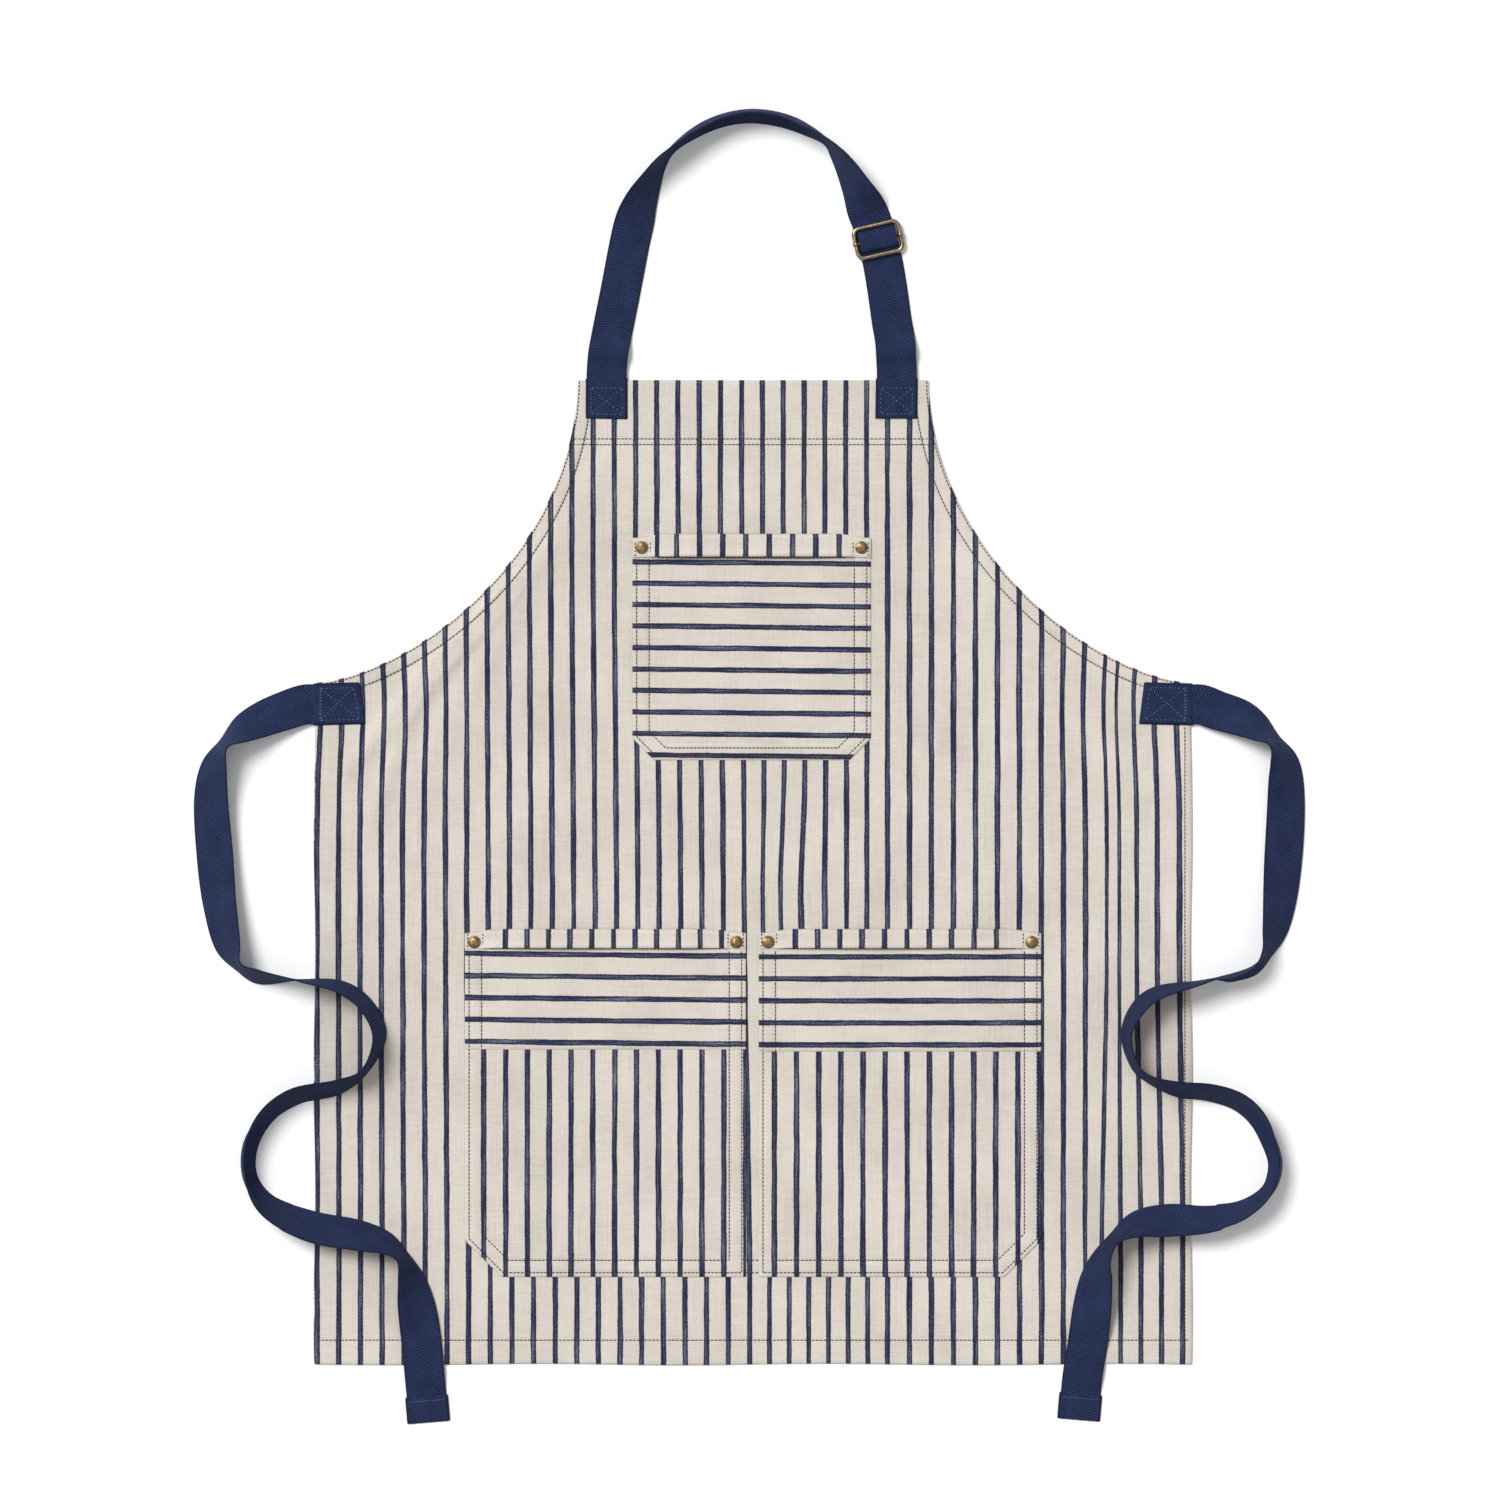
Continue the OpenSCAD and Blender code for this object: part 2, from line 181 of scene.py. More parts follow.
def canvas_material(name, pitch=17.2, wear=1.0):
    """Plain-woven canvas. UV x counts stripes, one at each whole number; UV y is mm / 100 along them."""
    m = Nodes(name, CANVAS, 0.93)
    place = m.object_coords()
    x, y, _ = m.split(place)
    uv = m.uv()
    phase, _, _ = m.split(uv)
    cloud = m.noise(place, 14, 5, 0.65)
    streak = m.noise(m.stretch(uv, (26, 1.6, 1)), 1.0, 4, 0.65)
    weft = m.noise(m.stretch(uv, (0.8, 60, 1)), 1.0, 3, 0.6)
    fleck = m.noise(place, 900, 2, 0.7)
    threads = m.math("MULTIPLY_ADD", streak, 0.4, m.math("MULTIPLY", weft, 0.25))
    tone = m.math("MULTIPLY_ADD", cloud, 0.45, threads)
    cloth = m.mix(m.ramp(tone, 0.40, 0.80), CANVAS, CANVAS_DARK)
    cloth = m.mix(m.ramp(fleck, 0.54, 0.78, 0, 0.4), cloth, CANVAS_FLECK)
    wobble = m.noise(m.stretch(uv, (0.9, 3.0, 1)), 1.0, 3, 0.6)
    yarn = m.noise(m.stretch(uv, (20, 130, 1)), 1.0, 2, 0.6)
    moved = m.math("MULTIPLY_ADD", wobble, 0.085, m.math("ADD", phase, 0.4575))
    from_stripe = m.math("ABSOLUTE", m.math("SUBTRACT", m.math("FRACT", moved), 0.5))
    off = m.math("MULTIPLY_ADD", from_stripe, pitch, m.math("MULTIPLY_ADD", yarn, 1.3, -0.65))
    width = m.noise(m.stretch(uv, (1.0, 1.1, 1)), 1.0, 2, 0.5)
    inside = m.math("SUBTRACT", m.math("MULTIPLY_ADD", width, 1.5, 1.42), off)
    mask = m.ramp(inside, -0.25, 0.25)
    worn = m.noise(m.stretch(uv, (5.5, 2.2, 1)), 1.0, 5, 0.68)
    speck = m.noise(m.stretch(uv, (22, 75, 1)), 1.0, 2, 0.75)
    middle = m.ramp(inside, 0.2, 1.5, 0.0, 0.13)
    thin = m.math("MULTIPLY_ADD", speck, 0.5, m.math("MULTIPLY_ADD", worn, 0.65, middle))
    ink = m.mix(m.ramp(thin, 0.63, 0.95, 0.0, 0.9 * wear), STRIPE, STRIPE_WORN)
    cloth = m.mix(m.math("MULTIPLY", mask, m.ramp(thin, 0.76, 0.98, 1.0, 0.6)), cloth, ink)
    m.color(cloth)
    warp_yarn = m.math("SINE", m.math("MULTIPLY", x, 2 * math.pi / WARP_YARN_PITCH))
    weft_yarn = m.math("SINE", m.math("MULTIPLY", y, 2 * math.pi / WEFT_YARN_PITCH))
    crossing = m.math("MULTIPLY", warp_yarn, weft_yarn)
    weave = m.math("MULTIPLY_ADD", crossing, 0.5, m.math("MULTIPLY", fleck, 1.2))
    slub = m.math("ADD", streak, weft)
    m.bump(m.math("MULTIPLY_ADD", slub, 1.6, weave), 0.00032, 0.9)
    m.shader.inputs["Specular IOR Level"].default_value = 0.25
    return m.material


def webbing_material():
    """Herringbone webbing. UV is in mm / 100: x runs along it, y across it from its middle."""
    m = Nodes("navy_webbing", WEBBING, 0.85)
    uv = m.uv()
    along, across, _ = m.split(uv)
    column = m.math("PINGPONG", m.math("ADD", across, 1.0), 0.032)
    drift = m.noise(m.stretch(uv, (9, 16, 1)), 1.0, 2, 0.5)
    slant = m.math("MULTIPLY_ADD", column, 0.6, m.math("MULTIPLY_ADD", drift, 0.02, along))
    twill = m.math("SINE", m.math("MULTIPLY", slant, 2 * math.pi / 0.0205))
    ribs = m.math("SINE", m.math("MULTIPLY", across, 2 * math.pi / 0.011))
    fuzz = m.noise(m.stretch(uv, (95, 95, 1)), 1.0, 3, 0.75)
    patch = m.noise(m.stretch(uv, (4, 7, 1)), 1.0, 4, 0.6)
    rows = m.math("MULTIPLY_ADD", ribs, 0.25, twill)
    blotch = m.math("MULTIPLY_ADD", fuzz, 0.9, m.math("MULTIPLY", patch, 0.4))
    tone = m.math("MULTIPLY_ADD", rows, 0.2, blotch)
    edge = m.math("ABSOLUTE", across)
    cloth = m.mix(m.ramp(tone, 0.38, 0.98), WEBBING_DARK, WEBBING_LIGHT)
    cloth = m.mix(m.ramp(edge, 0.145, 0.153, 0, 0.6), cloth, WEBBING_EDGE)
    m.color(cloth)
    selvedge = m.ramp(edge, 0.143, 0.152)
    rough_yarn = m.math("MULTIPLY_ADD", ribs, 0.3, m.math("MULTIPLY", fuzz, 1.2))
    height = m.math("MULTIPLY_ADD", twill, 0.8, rough_yarn)
    m.bump(m.math("MULTIPLY_ADD", selvedge, 1.2, height), 0.0003, 0.9)
    m.shader.inputs["Specular IOR Level"].default_value = 0.2
    return m.material


def thread_material(name, base, light):
    """Sewing thread, mottled between two tones."""
    m = Nodes(name, base, 0.7)
    place = m.object_coords()
    shade = m.noise(place, 700, 2, 0.6)
    m.color(m.mix(m.ramp(shade, 0.35, 0.7), base, light))
    m.bump(m.noise(place, 2500, 2, 0.6), 0.0001, 0.6)
    return m.material


def brass_material(name, low, high, rough, tarnish):
    """Aged brass in patches of two tones, with tarnish in its finest grain."""
    m = Nodes(name, low, rough)
    m.shader.inputs["Metallic"].default_value = 1.0
    place = m.object_coords()
    patina = m.noise(place, 420, 5, 0.65)
    fine = m.noise(place, 2600, 3, 0.6)
    metal = m.mix(m.ramp(patina, 0.38, 0.66), low, high)
    m.color(m.mix(m.ramp(fine, 0.56, 0.74, 0, tarnish), metal, BRASS_TARNISH))
    m.rough(m.ramp(patina, 0.3, 0.7, rough + 0.12, rough - 0.06))
    m.bump(m.math("MULTIPLY_ADD", fine, 0.5, patina), 0.00012, 0.5)
    return m.material


# ---- mesh helpers
def make_object(name, verts, faces, uvs, material):
    """A smooth-shaded mesh object from points in mm."""
    mesh = bpy.data.meshes.new(name)
    points = [tuple(v) for v in np.asarray(verts) * MM]
    mesh.from_pydata(points, [], [tuple(int(i) for i in f) for f in faces])
    if uvs is not None:
        layer = mesh.uv_layers.new(name="cloth")
        loops = np.empty(len(mesh.loops), np.int32)
        mesh.loops.foreach_get("vertex_index", loops)
        layer.data.foreach_set("uv", np.asarray(uvs, np.float32)[loops].ravel())
    mesh.materials.append(material)
    mesh.polygons.foreach_set("use_smooth", [True] * len(mesh.polygons))
    mesh.validate()
    mesh.update()
    obj = bpy.data.objects.new(name, mesh)
    bpy.context.collection.objects.link(obj)
    return obj


def slab(name, top, thickness, uv, material, bulge=0.5):
    """A closed piece of cloth from the grid of its upper side: rows run along -X to +X, from -Y to +Y."""
    rows, cols, _ = top.shape
    bottom = top.copy()
    bottom[:, :, 2] -= thickness
    count = rows * cols
    index = np.arange(count).reshape(rows, cols)
    edge = np.concatenate([index[0, :-1], index[:-1, -1], index[-1, :0:-1], index[:0:-1, 0]])
    flat_top = top.reshape(-1, 3)
    flat_bottom = bottom.reshape(-1, 3)
    ring = flat_top[edge]
    before, after = np.roll(ring, 1, 0), np.roll(ring, -1, 0)
    way = (after - before)[:, :2]
    out = np.stack([way[:, 1], -way[:, 0]], 1)
    out /= np.maximum(np.linalg.norm(out, axis=1, keepdims=True), 1e-9)
    mid = (flat_top[edge] + flat_bottom[edge]) / 2
    depth = flat_top[edge][:, 2] - flat_bottom[edge][:, 2]
    mid[:, :2] += out * (depth * bulge)[:, None]
    verts = np.concatenate([flat_top, flat_bottom, mid])
    quads = np.stack([index[:-1, :-1], index[:-1, 1:], index[1:, 1:], index[1:, :-1]], -1).reshape(-1, 4)
    faces = [tuple(q) for q in quads] + [tuple(q[::-1] + count) for q in quads]
    n = len(edge)
    rim = 2 * count + np.arange(n)
    for i in range(n):
        j = (i + 1) % n
        faces.append((edge[i], rim[i], rim[j], edge[j]))
        faces.append((rim[i], edge[i] + count, edge[j] + count, rim[j]))
    flat_uv = uv.reshape(-1, 2)
    uvs = np.concatenate([flat_uv, flat_uv, flat_uv[edge]])
    return make_object(name, verts, faces, uvs, material)


def catmull(points, spacing):
    """Smooth resampling of a route's points; the first two numbers of a point set the spacing."""
    p = np.asarray(points, float)
    padded = np.concatenate([[2 * p[0] - p[1]], p, [2 * p[-1] - p[-2]]])
    out = []
    for i in range(len(p) - 1):
        a, b, c, d = padded[i : i + 4]
        ta = 0.0
        tb = ta + np.linalg.norm((b - a)[:2]) ** 0.5
        tc = tb + np.linalg.norm((c - b)[:2]) ** 0.5
        td = tc + np.linalg.norm((d - c)[:2]) ** 0.5
        steps = max(2, int(math.ceil(np.linalg.norm((c - b)[:2]) / spacing)))
        for k in range(steps):
            t = tb + (tc - tb) * k / steps
            a1 = (tb - t) / (tb - ta) * a + (t - ta) / (tb - ta) * b
            a2 = (tc - t) / (tc - tb) * b + (t - tb) / (tc - tb) * c
            a3 = (td - t) / (td - tc) * c + (t - tc) / (td - tc) * d
            b1 = (tc - t) / (tc - ta) * a1 + (t - ta) / (tc - ta) * a2
            b2 = (td - t) / (td - tb) * a2 + (t - tb) / (td - tb) * a3
            out.append((tc - t) / (tc - tb) * b1 + (t - tb) / (tc - tb) * b2)
    out.append(p[-1])
    return np.array(out)


def web_profile(width, thickness):
    """Section of a webbing: (across, up) points, anticlockwise, with soft edges."""
    h, t = width / 2, thickness / 2
    top = [(a, t) for a in np.linspace(h - 0.9, -h + 0.9, 13)]
    left = [(-h + 0.25, t * 0.72), (-h, 0.0), (-h + 0.25, -t * 0.72)]
    low = [(a, -t) for a in np.linspace(-h + 0.9, h - 0.9, 13)]
    right = [(h - 0.25, -t * 0.72), (h, 0.0), (h - 0.25, t * 0.72)]
    return np.array(top + left + low + right)


def ribbon(name, centres, across, face, width=WEB_W, thickness=WEB_T, cup=None, fold=None, back=0.0):
    """A webbing swept along its centres; cup bows its section, fold bends it into a V set back a little."""
    section = web_profile(width, thickness)
    n, m = len(centres), len(section)
    steps = np.r_[0, np.cumsum(np.linalg.norm(np.diff(centres, axis=0), axis=1))]
    verts = np.empty((n, m, 3))
    uvs = np.empty((n, m, 2))
    for j, (a, up) in enumerate(section):
        lift = 0 if cup is None else (cup * ((2 * a / width) ** 2 - 0.33))[:, None] * face
        flat = 1 if fold is None else np.sqrt(1 - fold**2)[:, None]
        verts[:, j] = centres + a * flat * across + up * face + lift
        if fold is not None:
            verts[:, j] += (math.sqrt(a * a + 4) - 2 - back) * fold[:, None] * face
        uvs[:, j, 0] = steps / 100
        uvs[:, j, 1] = a / 100
    if fold is not None:
        above = verts[:, :, 2].min(1) - floor_of(centres)
        verts[:, :, 2] -= (above * smooth(np.abs(fold) / 0.1))[:, None]
    index = np.arange(n * m).reshape(n, m)
    faces = []
    for j in range(m):
        k = (j + 1) % m
        faces += [(index[i, j], index[i, k], index[i + 1, k], index[i + 1, j]) for i in range(n - 1)]
    faces.append(tuple(index[0]))
    faces.append(tuple(index[-1][::-1]))
    return make_object(name, verts.reshape(-1, 3), faces, uvs.reshape(-1, 2), webbing)


def inside_panel(x, y):
    """1 over the panel, 0 over the table, with a soft step just outside the panel's edge."""
    side = smooth((HALF_W + 24 - np.abs(x)) / 18)
    low = smooth((y + HALF_H + 24) / 18)
    high = smooth((HALF_H + 20 - y) / 18)
    return side * low * high


def floor_of(p):
    """Height of whatever a strap rests on at each point of its line."""
    return 0.1 + 2.35 * inside_panel(p[:, 0], p[:, 1])


def bib_step(p):
    """A neck strap drops off the bib's top edge and humps up once before it lies flat."""
    return 6.0 * np.exp(-(((p[:, 1] - 416) / 9) ** 2))


def strap_frame(route):
    """Centre line, width direction and face direction of a strap along a smoothed route."""
    p = catmull(route, spacing=2.5)
    way = np.gradient(p[:, :2], axis=0)
    way /= np.linalg.norm(way, axis=1, keepdims=True)
    roll = np.radians(p[:, 2])
    c, s = np.cos(roll), np.sin(roll)
    across = np.stack([-way[:, 1] * c, way[:, 0] * c, s], 1)
    face = np.stack([way[:, 1] * s, -way[:, 0] * s, c], 1)
    z = floor_of(p) + WEB_W / 2 * np.abs(s) + WEB_T / 2 * np.abs(c) + bib_step(p)
    return np.stack([p[:, 0], p[:, 1], z], 1), across, face


# ---- the straps
LEFT_TIE = [
    (0.4, 0, 0), (8, 0, 2), (24, -5, 12), (42, -12, 25), (58, -20, 45), (72, -31, 72), (80, -48, 48),
    (83, -72, 30), (80, -120, 20), (76, -160, 30), (69, -194, 48), (61, -209, 75), (46, -217, 68),
    (12, -220, 90), (-22, -226, 106), (-41, -240, 108), (-52, -264, 107), (-40, -293, 98),
    (-20, -305, 112), (16, -313, 116), (39, -328, 112), (53, -352, 108), (53, -378, 106),
    (40, -399, 118), (2, -417, 137), (-35, -424, 136), (-57, -430, 120), (-70, -440, 105),
    (-77, -458, 128), (-81, -480, 156), (-85, -510, 178), (-87.5, -537, 179), (-89, -555, 180),
]
RIGHT_TIE = [
    (0.4, 0, 0), (8, 0, 2), (22, -5, 11), (40, -11, 22), (54, -19, 45), (66, -29, 68), (74, -45, 42),
    (76, -66, 22), (74, -120, 14), (67, -180, 47), (60, -198, 70), (49, -209, 77), (10, -221, 92),
    (-29, -231, 107), (-43, -243, 108), (-52, -264, 102), (-44, -291, 99), (-34, -299, 101),
    (-12, -307, 113), (16, -310, 117), (40, -318, 117), (60, -336, 113), (72, -365, 105),
    (66, -388, 102), (44, -404, 112), (14, -411, 128), (-20, -412, 141), (-44, -415, 126),
    (-62, -426, 103), (-72, -442, 116), (-76, -460, 142), (-82, -508, 178), (-86.5, -537, 179),
    (-88, -553, 180),
]
LONG_STRAP = [
    (-117, 393.4, 0), (-117, 400, 0), (-116, 412, 0), (-113, 430, 0), (-107, 460, 0), (-96, 515, 6),
    (-90, 534, 34), (-82, 551, 58), (-74, 566, 74), (-65, 577, 82), (-48, 590, 76), (-25, 601, 70),
    (-2, 605, 67), (22, 602, 68), (44, 593, 75), (59.4, 583, 82), (67, 573, 72), (74.6, 561, 60),
    (83.6, 544, 41), (90.2, 531, 13), (93.4, 524, 0), (99, 508.6, 0),
]
SHORT_STRAP = [
    (115, 393.4, 0), (115, 400, 0), (114.4, 412, 0), (113.4, 426, 0), (110.8, 441.6, 0), (107.4, 466, 0),
    (103.7, 488, 0), (99.4, 507, 0),
]


def tie_route(route, side):
    """A tie's route from its sewn end, moved to its side of the panel."""
    return [(side * (HALF_W + x), TIE_Y + y, -side * roll) for x, y, roll in route]


webbing = webbing_material()


def tie_fold(p):
    """How sharply the upright parts of a tie's lowest loop are bent lengthways."""
    return 0.48 * smooth((p[:, 1] + 288) / 46) * smooth((-176 - p[:, 1]) / 46) * (np.abs(p[:, 0]) > 372)


def right_tie_fold(p):
    """The right tie is also bent where it first turns on edge."""
    turn = smooth((p[:, 0] - 366) / 16) * smooth((414 - p[:, 0]) / 18) * (np.abs(p[:, 1] + 80) < 30)
    return tie_fold(p) + 0.34 * turn


def apex_fold(p):
    """The neck strap is bent lengthways where it turns over at the top of its loop."""
    return 0.48 * smooth((p[:, 0] + 84) / 50) * smooth((72 - p[:, 0]) / 42) * (p[:, 1] > 540)


def strap_piece(name, route, node, fold=None, tilt=0.0, back=0.0):
    """One strap along its route; returns it with its centre line and its length in metres."""
    centres, across, face = strap_frame(route)
    bend = np.sin(np.arange(len(centres)) * 0.11) * 0.35
    if fold is not None:
        fold = fold(centres) * np.sign(face[:, 2])
        c = np.cos(tilt * fold)[:, None]
        s = np.sin(tilt * fold)[:, None]
        across, face = across * c + face * s, face * c - across * s
    obj = ribbon(name, centres, across, face, cup=bend, fold=fold, back=back)
    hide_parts(node)
    length = float(np.linalg.norm(np.diff(centres, axis=0), axis=1).sum())
    return obj, centres, length * MM


left_tie, left_line, left_length = strap_piece(
    "waist_tie_webbing_left", tie_route(LEFT_TIE, -1), "waist_tie_left", tie_fold, back=8
)
right_tie, right_line, right_length = strap_piece(
    "waist_tie_webbing_right", tie_route(RIGHT_TIE, 1), "waist_tie_right", right_tie_fold
)
long_strap, long_line, long_length = strap_piece(
    "neck_webbing_long", LONG_STRAP, "neck_strap_long", apex_fold, 0.38, 8
)
short_strap = strap_piece("neck_webbing_short", SHORT_STRAP, "neck_strap_short")[0]

# ---- stitches
STITCHES = {}
STITCH_SIDES = 6
STITCH_SHARES = (0.0, 0.2, 0.5, 0.8, 1.0)
STITCH_THICKNESS = (0.35, 0.9, 1.0, 0.9, 0.35)


def stitch_row(group, points, surface, pitch=3.1, length=2.9, radius=0.43, up=0.12):
    """A row of separate stitches along a line of (x, y) points; surface gives the height they lie at."""
    p = np.array([(q[0], q[1]) for q in points], float)
    total = np.r_[0, np.cumsum(np.linalg.norm(np.diff(p, axis=0), axis=1))]
    count = max(1, int(total[-1] / pitch))
    verts, faces = STITCHES.setdefault(group, ([], []))
    for middle in total[-1] * (np.arange(count) + 0.5) / count:
        line = []
        for share in STITCH_SHARES:
            along = middle + length * (share - 0.5)
            x = np.interp(along, total, p[:, 0])
            y = np.interp(along, total, p[:, 1])
            line.append((x, y, surface(x, y) + (up + 0.1 if 0 < share < 1 else -0.35)))
        add_stitch(verts, faces, np.array(line), radius)


def add_stitch(verts, faces, line, radius):
    """One stitch: a short round thread along a line, thinner at both ends."""
    way = line[-1] - line[0]
    way /= np.linalg.norm(way)
    side = np.array([-way[1], way[0], 0])
    side /= np.linalg.norm(side)
    top = np.cross(way, side)
    base = len(verts)
    for centre, share in zip(line, STITCH_THICKNESS):
        for a in 2 * math.pi * np.arange(STITCH_SIDES) / STITCH_SIDES:
            verts.append(centre + radius * share * (math.cos(a) * side + math.sin(a) * top))
    last = base + (len(line) - 1) * STITCH_SIDES
    for ring in range(base, last, STITCH_SIDES):
        for k in range(STITCH_SIDES):
            a = ring + k
            b = ring + (k + 1) % STITCH_SIDES
            faces.append((a, b, b + STITCH_SIDES, a + STITCH_SIDES))
    faces.append(tuple(base + k for k in range(STITCH_SIDES))[::-1])
    faces.append(tuple(last + k for k in range(STITCH_SIDES)))


def finish_stitches(group, name, material, body):
    """Make one object of all the stitches gathered under a group."""
    verts, faces = STITCHES[group]
    obj = make_object(name, np.array(verts), faces, None, material)
    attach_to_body(obj, body)


# ---- the main panel
def armhole(a):
    """Point of the right armhole: a is 0 at the side edge's top and 90 at the bib's corner."""
    s = math.sin(math.radians(a)) ** (2 / 1.56)
    c = math.cos(math.radians(a)) ** (2 / 1.94)
    return HALF_W - (HALF_W - BIB_HALF) * s, HALF_H - (HALF_H - SIDE_TOP) * c


ARM = np.array([armhole(a) for a in np.linspace(0, 90, 181)])
ARM_WAY = np.gradient(ARM, axis=0)
ARM_WAY /= np.linalg.norm(ARM_WAY, axis=1, keepdims=True)
ARM_INWARD = np.stack([-ARM_WAY[:, 1], ARM_WAY[:, 0]], 1)


def arm_distance(x, y):
    """Distance from the nearest armhole edge, for points given as arrays."""
    ax = np.abs(np.asarray(x, float)).reshape(-1)
    ay = np.asarray(y, float).reshape(-1)
    best = np.full(len(ax), 1e9)
    for px, py in ARM[::2]:
        best = np.minimum(best, np.hypot(ax - px, ay - py))
    return best.reshape(np.shape(x))


def crease(x, y, x0, y0, x1, y1, width, height):
    """A soft fold along a line, fading at both ends."""
    d = np.array([x1 - x0, y1 - y0])
    size = np.hypot(*d)
    t = ((x - x0) * d[0] + (y - y0) * d[1]) / size**2
    off = ((x - x0) * d[1] - (y - y0) * d[0]) / size
    return height * np.exp(-((off / width) ** 2)) * smooth(t / 0.35) * smooth((1 - t) / 0.35)


def panel_height(x, y):
    """Height of the main panel's upper side."""
    x = np.asarray(x, float)
    y = np.asarray(y, float)
    z = 1.75 + 0.20 * np.sin(x / 46 + 1.3 * np.sin(y / 150)) * np.cos(y / 190 + 0.6)
    z = z + 0.15 * np.sin(x / 23 + y / 95 + 2.1) + 0.10 * np.sin(x / 61 - y / 40)
    near_tie = np.exp(-(((np.abs(x) - 300) / 60) ** 2) - (((y - 90) / 90) ** 2))
    z = z + 0.35 * near_tie * np.sin((np.abs(x) + 0.9 * y) / 13)
    for side, depth in ((-1, 1.0), (1, 0.4)):
        z = z + crease(side * x, y, 150, 275, 346, 58, 9, 6.5 * depth)
        z = z + crease(side * x, y, 240, 215, 318, 10, 8, 2.6 * depth)
        z = z + crease(side * x, y, 110, 345, 262, 90, 13, 2.4 * depth)
    edge = HALF_W - np.abs(x)
    z = z + 0.22 * smooth((21 - edge) / 2) + 0.22 * smooth((-HALF_H + 20.5 - y) / 2)
    z = z - 0.30 * np.exp(-(((edge - 19.5) / 1.6) ** 2)) * (y < SIDE_TOP)
    z = z - 0.30 * np.exp(-(((y - HEM_SEAM) / 1.6) ** 2))
    for seam in BIB_SEAMS:
        z = z - 0.25 * np.exp(-(((y - seam) / 1.5) ** 2))
    return np.clip(z, 1.05, 6.0)


HEM_SEAM = -374.4
BIB_SEAMS = (346.4, 341.8)
STRIPES_MID = -34.0


def stripe_phase(x, y):
    """How many stripes from the middle one x is; stripes run along the warp with a little drift."""
    level = smooth((y - STRIPES_MID) / 300) - smooth((STRIPES_MID - y) / 300)
    zero = np.where(level > 0, -6.6 - 2.5 * level, -6.6 - 4.1 * level)
    pull = 2.6 * np.exp(-(((y - 128) / 48) ** 2)) * smooth((np.abs(x) - 215) / 70)
    x = x + np.where(x < 0, -pull, pull) + 4.5 * np.exp(-(((x - 30) / 24) ** 2) - (((y + 20) / 70) ** 2))
    left_pitch = np.where(level > 0, 17.1 - 0.14 * level, 17.1 - 0.2 * level)
    inner = (107.5 - zero) / 7
    left = (x - zero) / left_pitch
    right = np.where(x < 107.5, (x - zero) / inner, 7 + (x - 107.5) / 17.6)
    low = smooth((-60 - y) / 240)
    number = np.arange(16, 23)
    edge = (1 - low) * np.interp(x, (265.9, 283.5, 292.6, 306.8, 323.2, 341.0, 360.0), number)
    edge = edge + low * np.interp(x, (265.9, 279.0, 293.8, 310.2, 326.8, 343.4, 360.0), number)
    right = np.where(x > 265.9, edge, right)
    return np.where(x < zero, left, right)


def panel_rows():
    """Row heights of the panel's mesh, closer together round its seams."""
    lower = np.concatenate([
        np.linspace(-HALF_H, -378, 7), [-376.4, -375.3, -374.4, -373.5, -372.4, -371],
        np.linspace(-366, SIDE_TOP, 120),
    ])
    upper = ARM[2::2, 1]
    extra = [339, 340.5, 341.8, 343, 344.1, 345.2, 346.4, 347.6, 349]
    rows = np.unique(np.round(np.concatenate([lower, upper, extra]), 2))
    keep = [rows[0]]
    for r in rows[1:]:
        if r - keep[-1] > 0.45:
            keep.append(r)
    keep[-1] = HALF_H
    return np.array(keep)


def half_width(y):
    """Half the panel's width at height y."""
    return np.where(y <= SIDE_TOP, HALF_W, np.interp(y, ARM[:, 1], ARM[:, 0]))


def panel_area(rows, width):
    """Area of the panel's outline in square metres."""
    return float(np.sum((width[1:] + width[:-1]) * np.diff(rows))) * MM * MM


def main_panel():
    """The panel with its hems, and the area of its outline."""
    rows = panel_rows()
    width = half_width(rows)
    share = np.linspace(-1, 1, 201)
    share = np.sign(share) * (np.abs(share) ** 0.92)
    x = share[None, :] * width[:, None]
    y = np.repeat(rows[:, None], len(share), 1)
    side_wave = 0.7 * np.sin(y / 31 + 0.5) * smooth((np.abs(x) - 330) / 20) * (y < 120)
    x = x + side_wave * np.sign(x)
    y = y + 0.6 * np.sin(x / 37) * smooth((-360 - y) / 30)
    arm = arm_distance(x, y)
    z = panel_height(x, y) + 0.30 * smooth((11 - arm) / 1.5) - 0.35 * np.exp(-(((arm - 10.5) / 1.5) ** 2))
    hem = smooth((20 - (HALF_W - np.abs(x))) / 2) * (y < 133) + smooth((-HALF_H + 20 - y) / 2)
    thickness = 0.95 + 0.7 * np.clip(hem, 0, 1)
    uv = np.stack([stripe_phase(x, y), y / 100], -1)
    panel = slab("canvas_panel", np.stack([x, y, z], -1), thickness, uv, canvas, 0.45)
    return attach(panel, "body_panel", "apron"), panel_area(rows, width)


def facing_piece(node, x, y):
    """A second layer of canvas, close under the panel."""
    top = np.stack([x, y, panel_height(x, y) - 1.0], -1)
    uv = np.stack([stripe_phase(x, y), y / 100], -1)
    attach(slab("canvas_" + node, top, 0.8, uv, plain), node, "apron")


def armhole_facing(side, label):
    """The curved strip behind an armhole's edge."""
    across = np.linspace(0.8, 14.6, 8)
    strip = ARM[:, None, :] + ARM_INWARD[:, None, :] * across[None, :, None]
    if side > 0:
        strip = strip[:, ::-1]
    facing_piece("armhole_facing_" + label, side * strip[:, :, 0], strip[:, :, 1])


def panel_top(x, y):
    """Height a stitch on the panel lies at."""
    return float(panel_height(x, y))


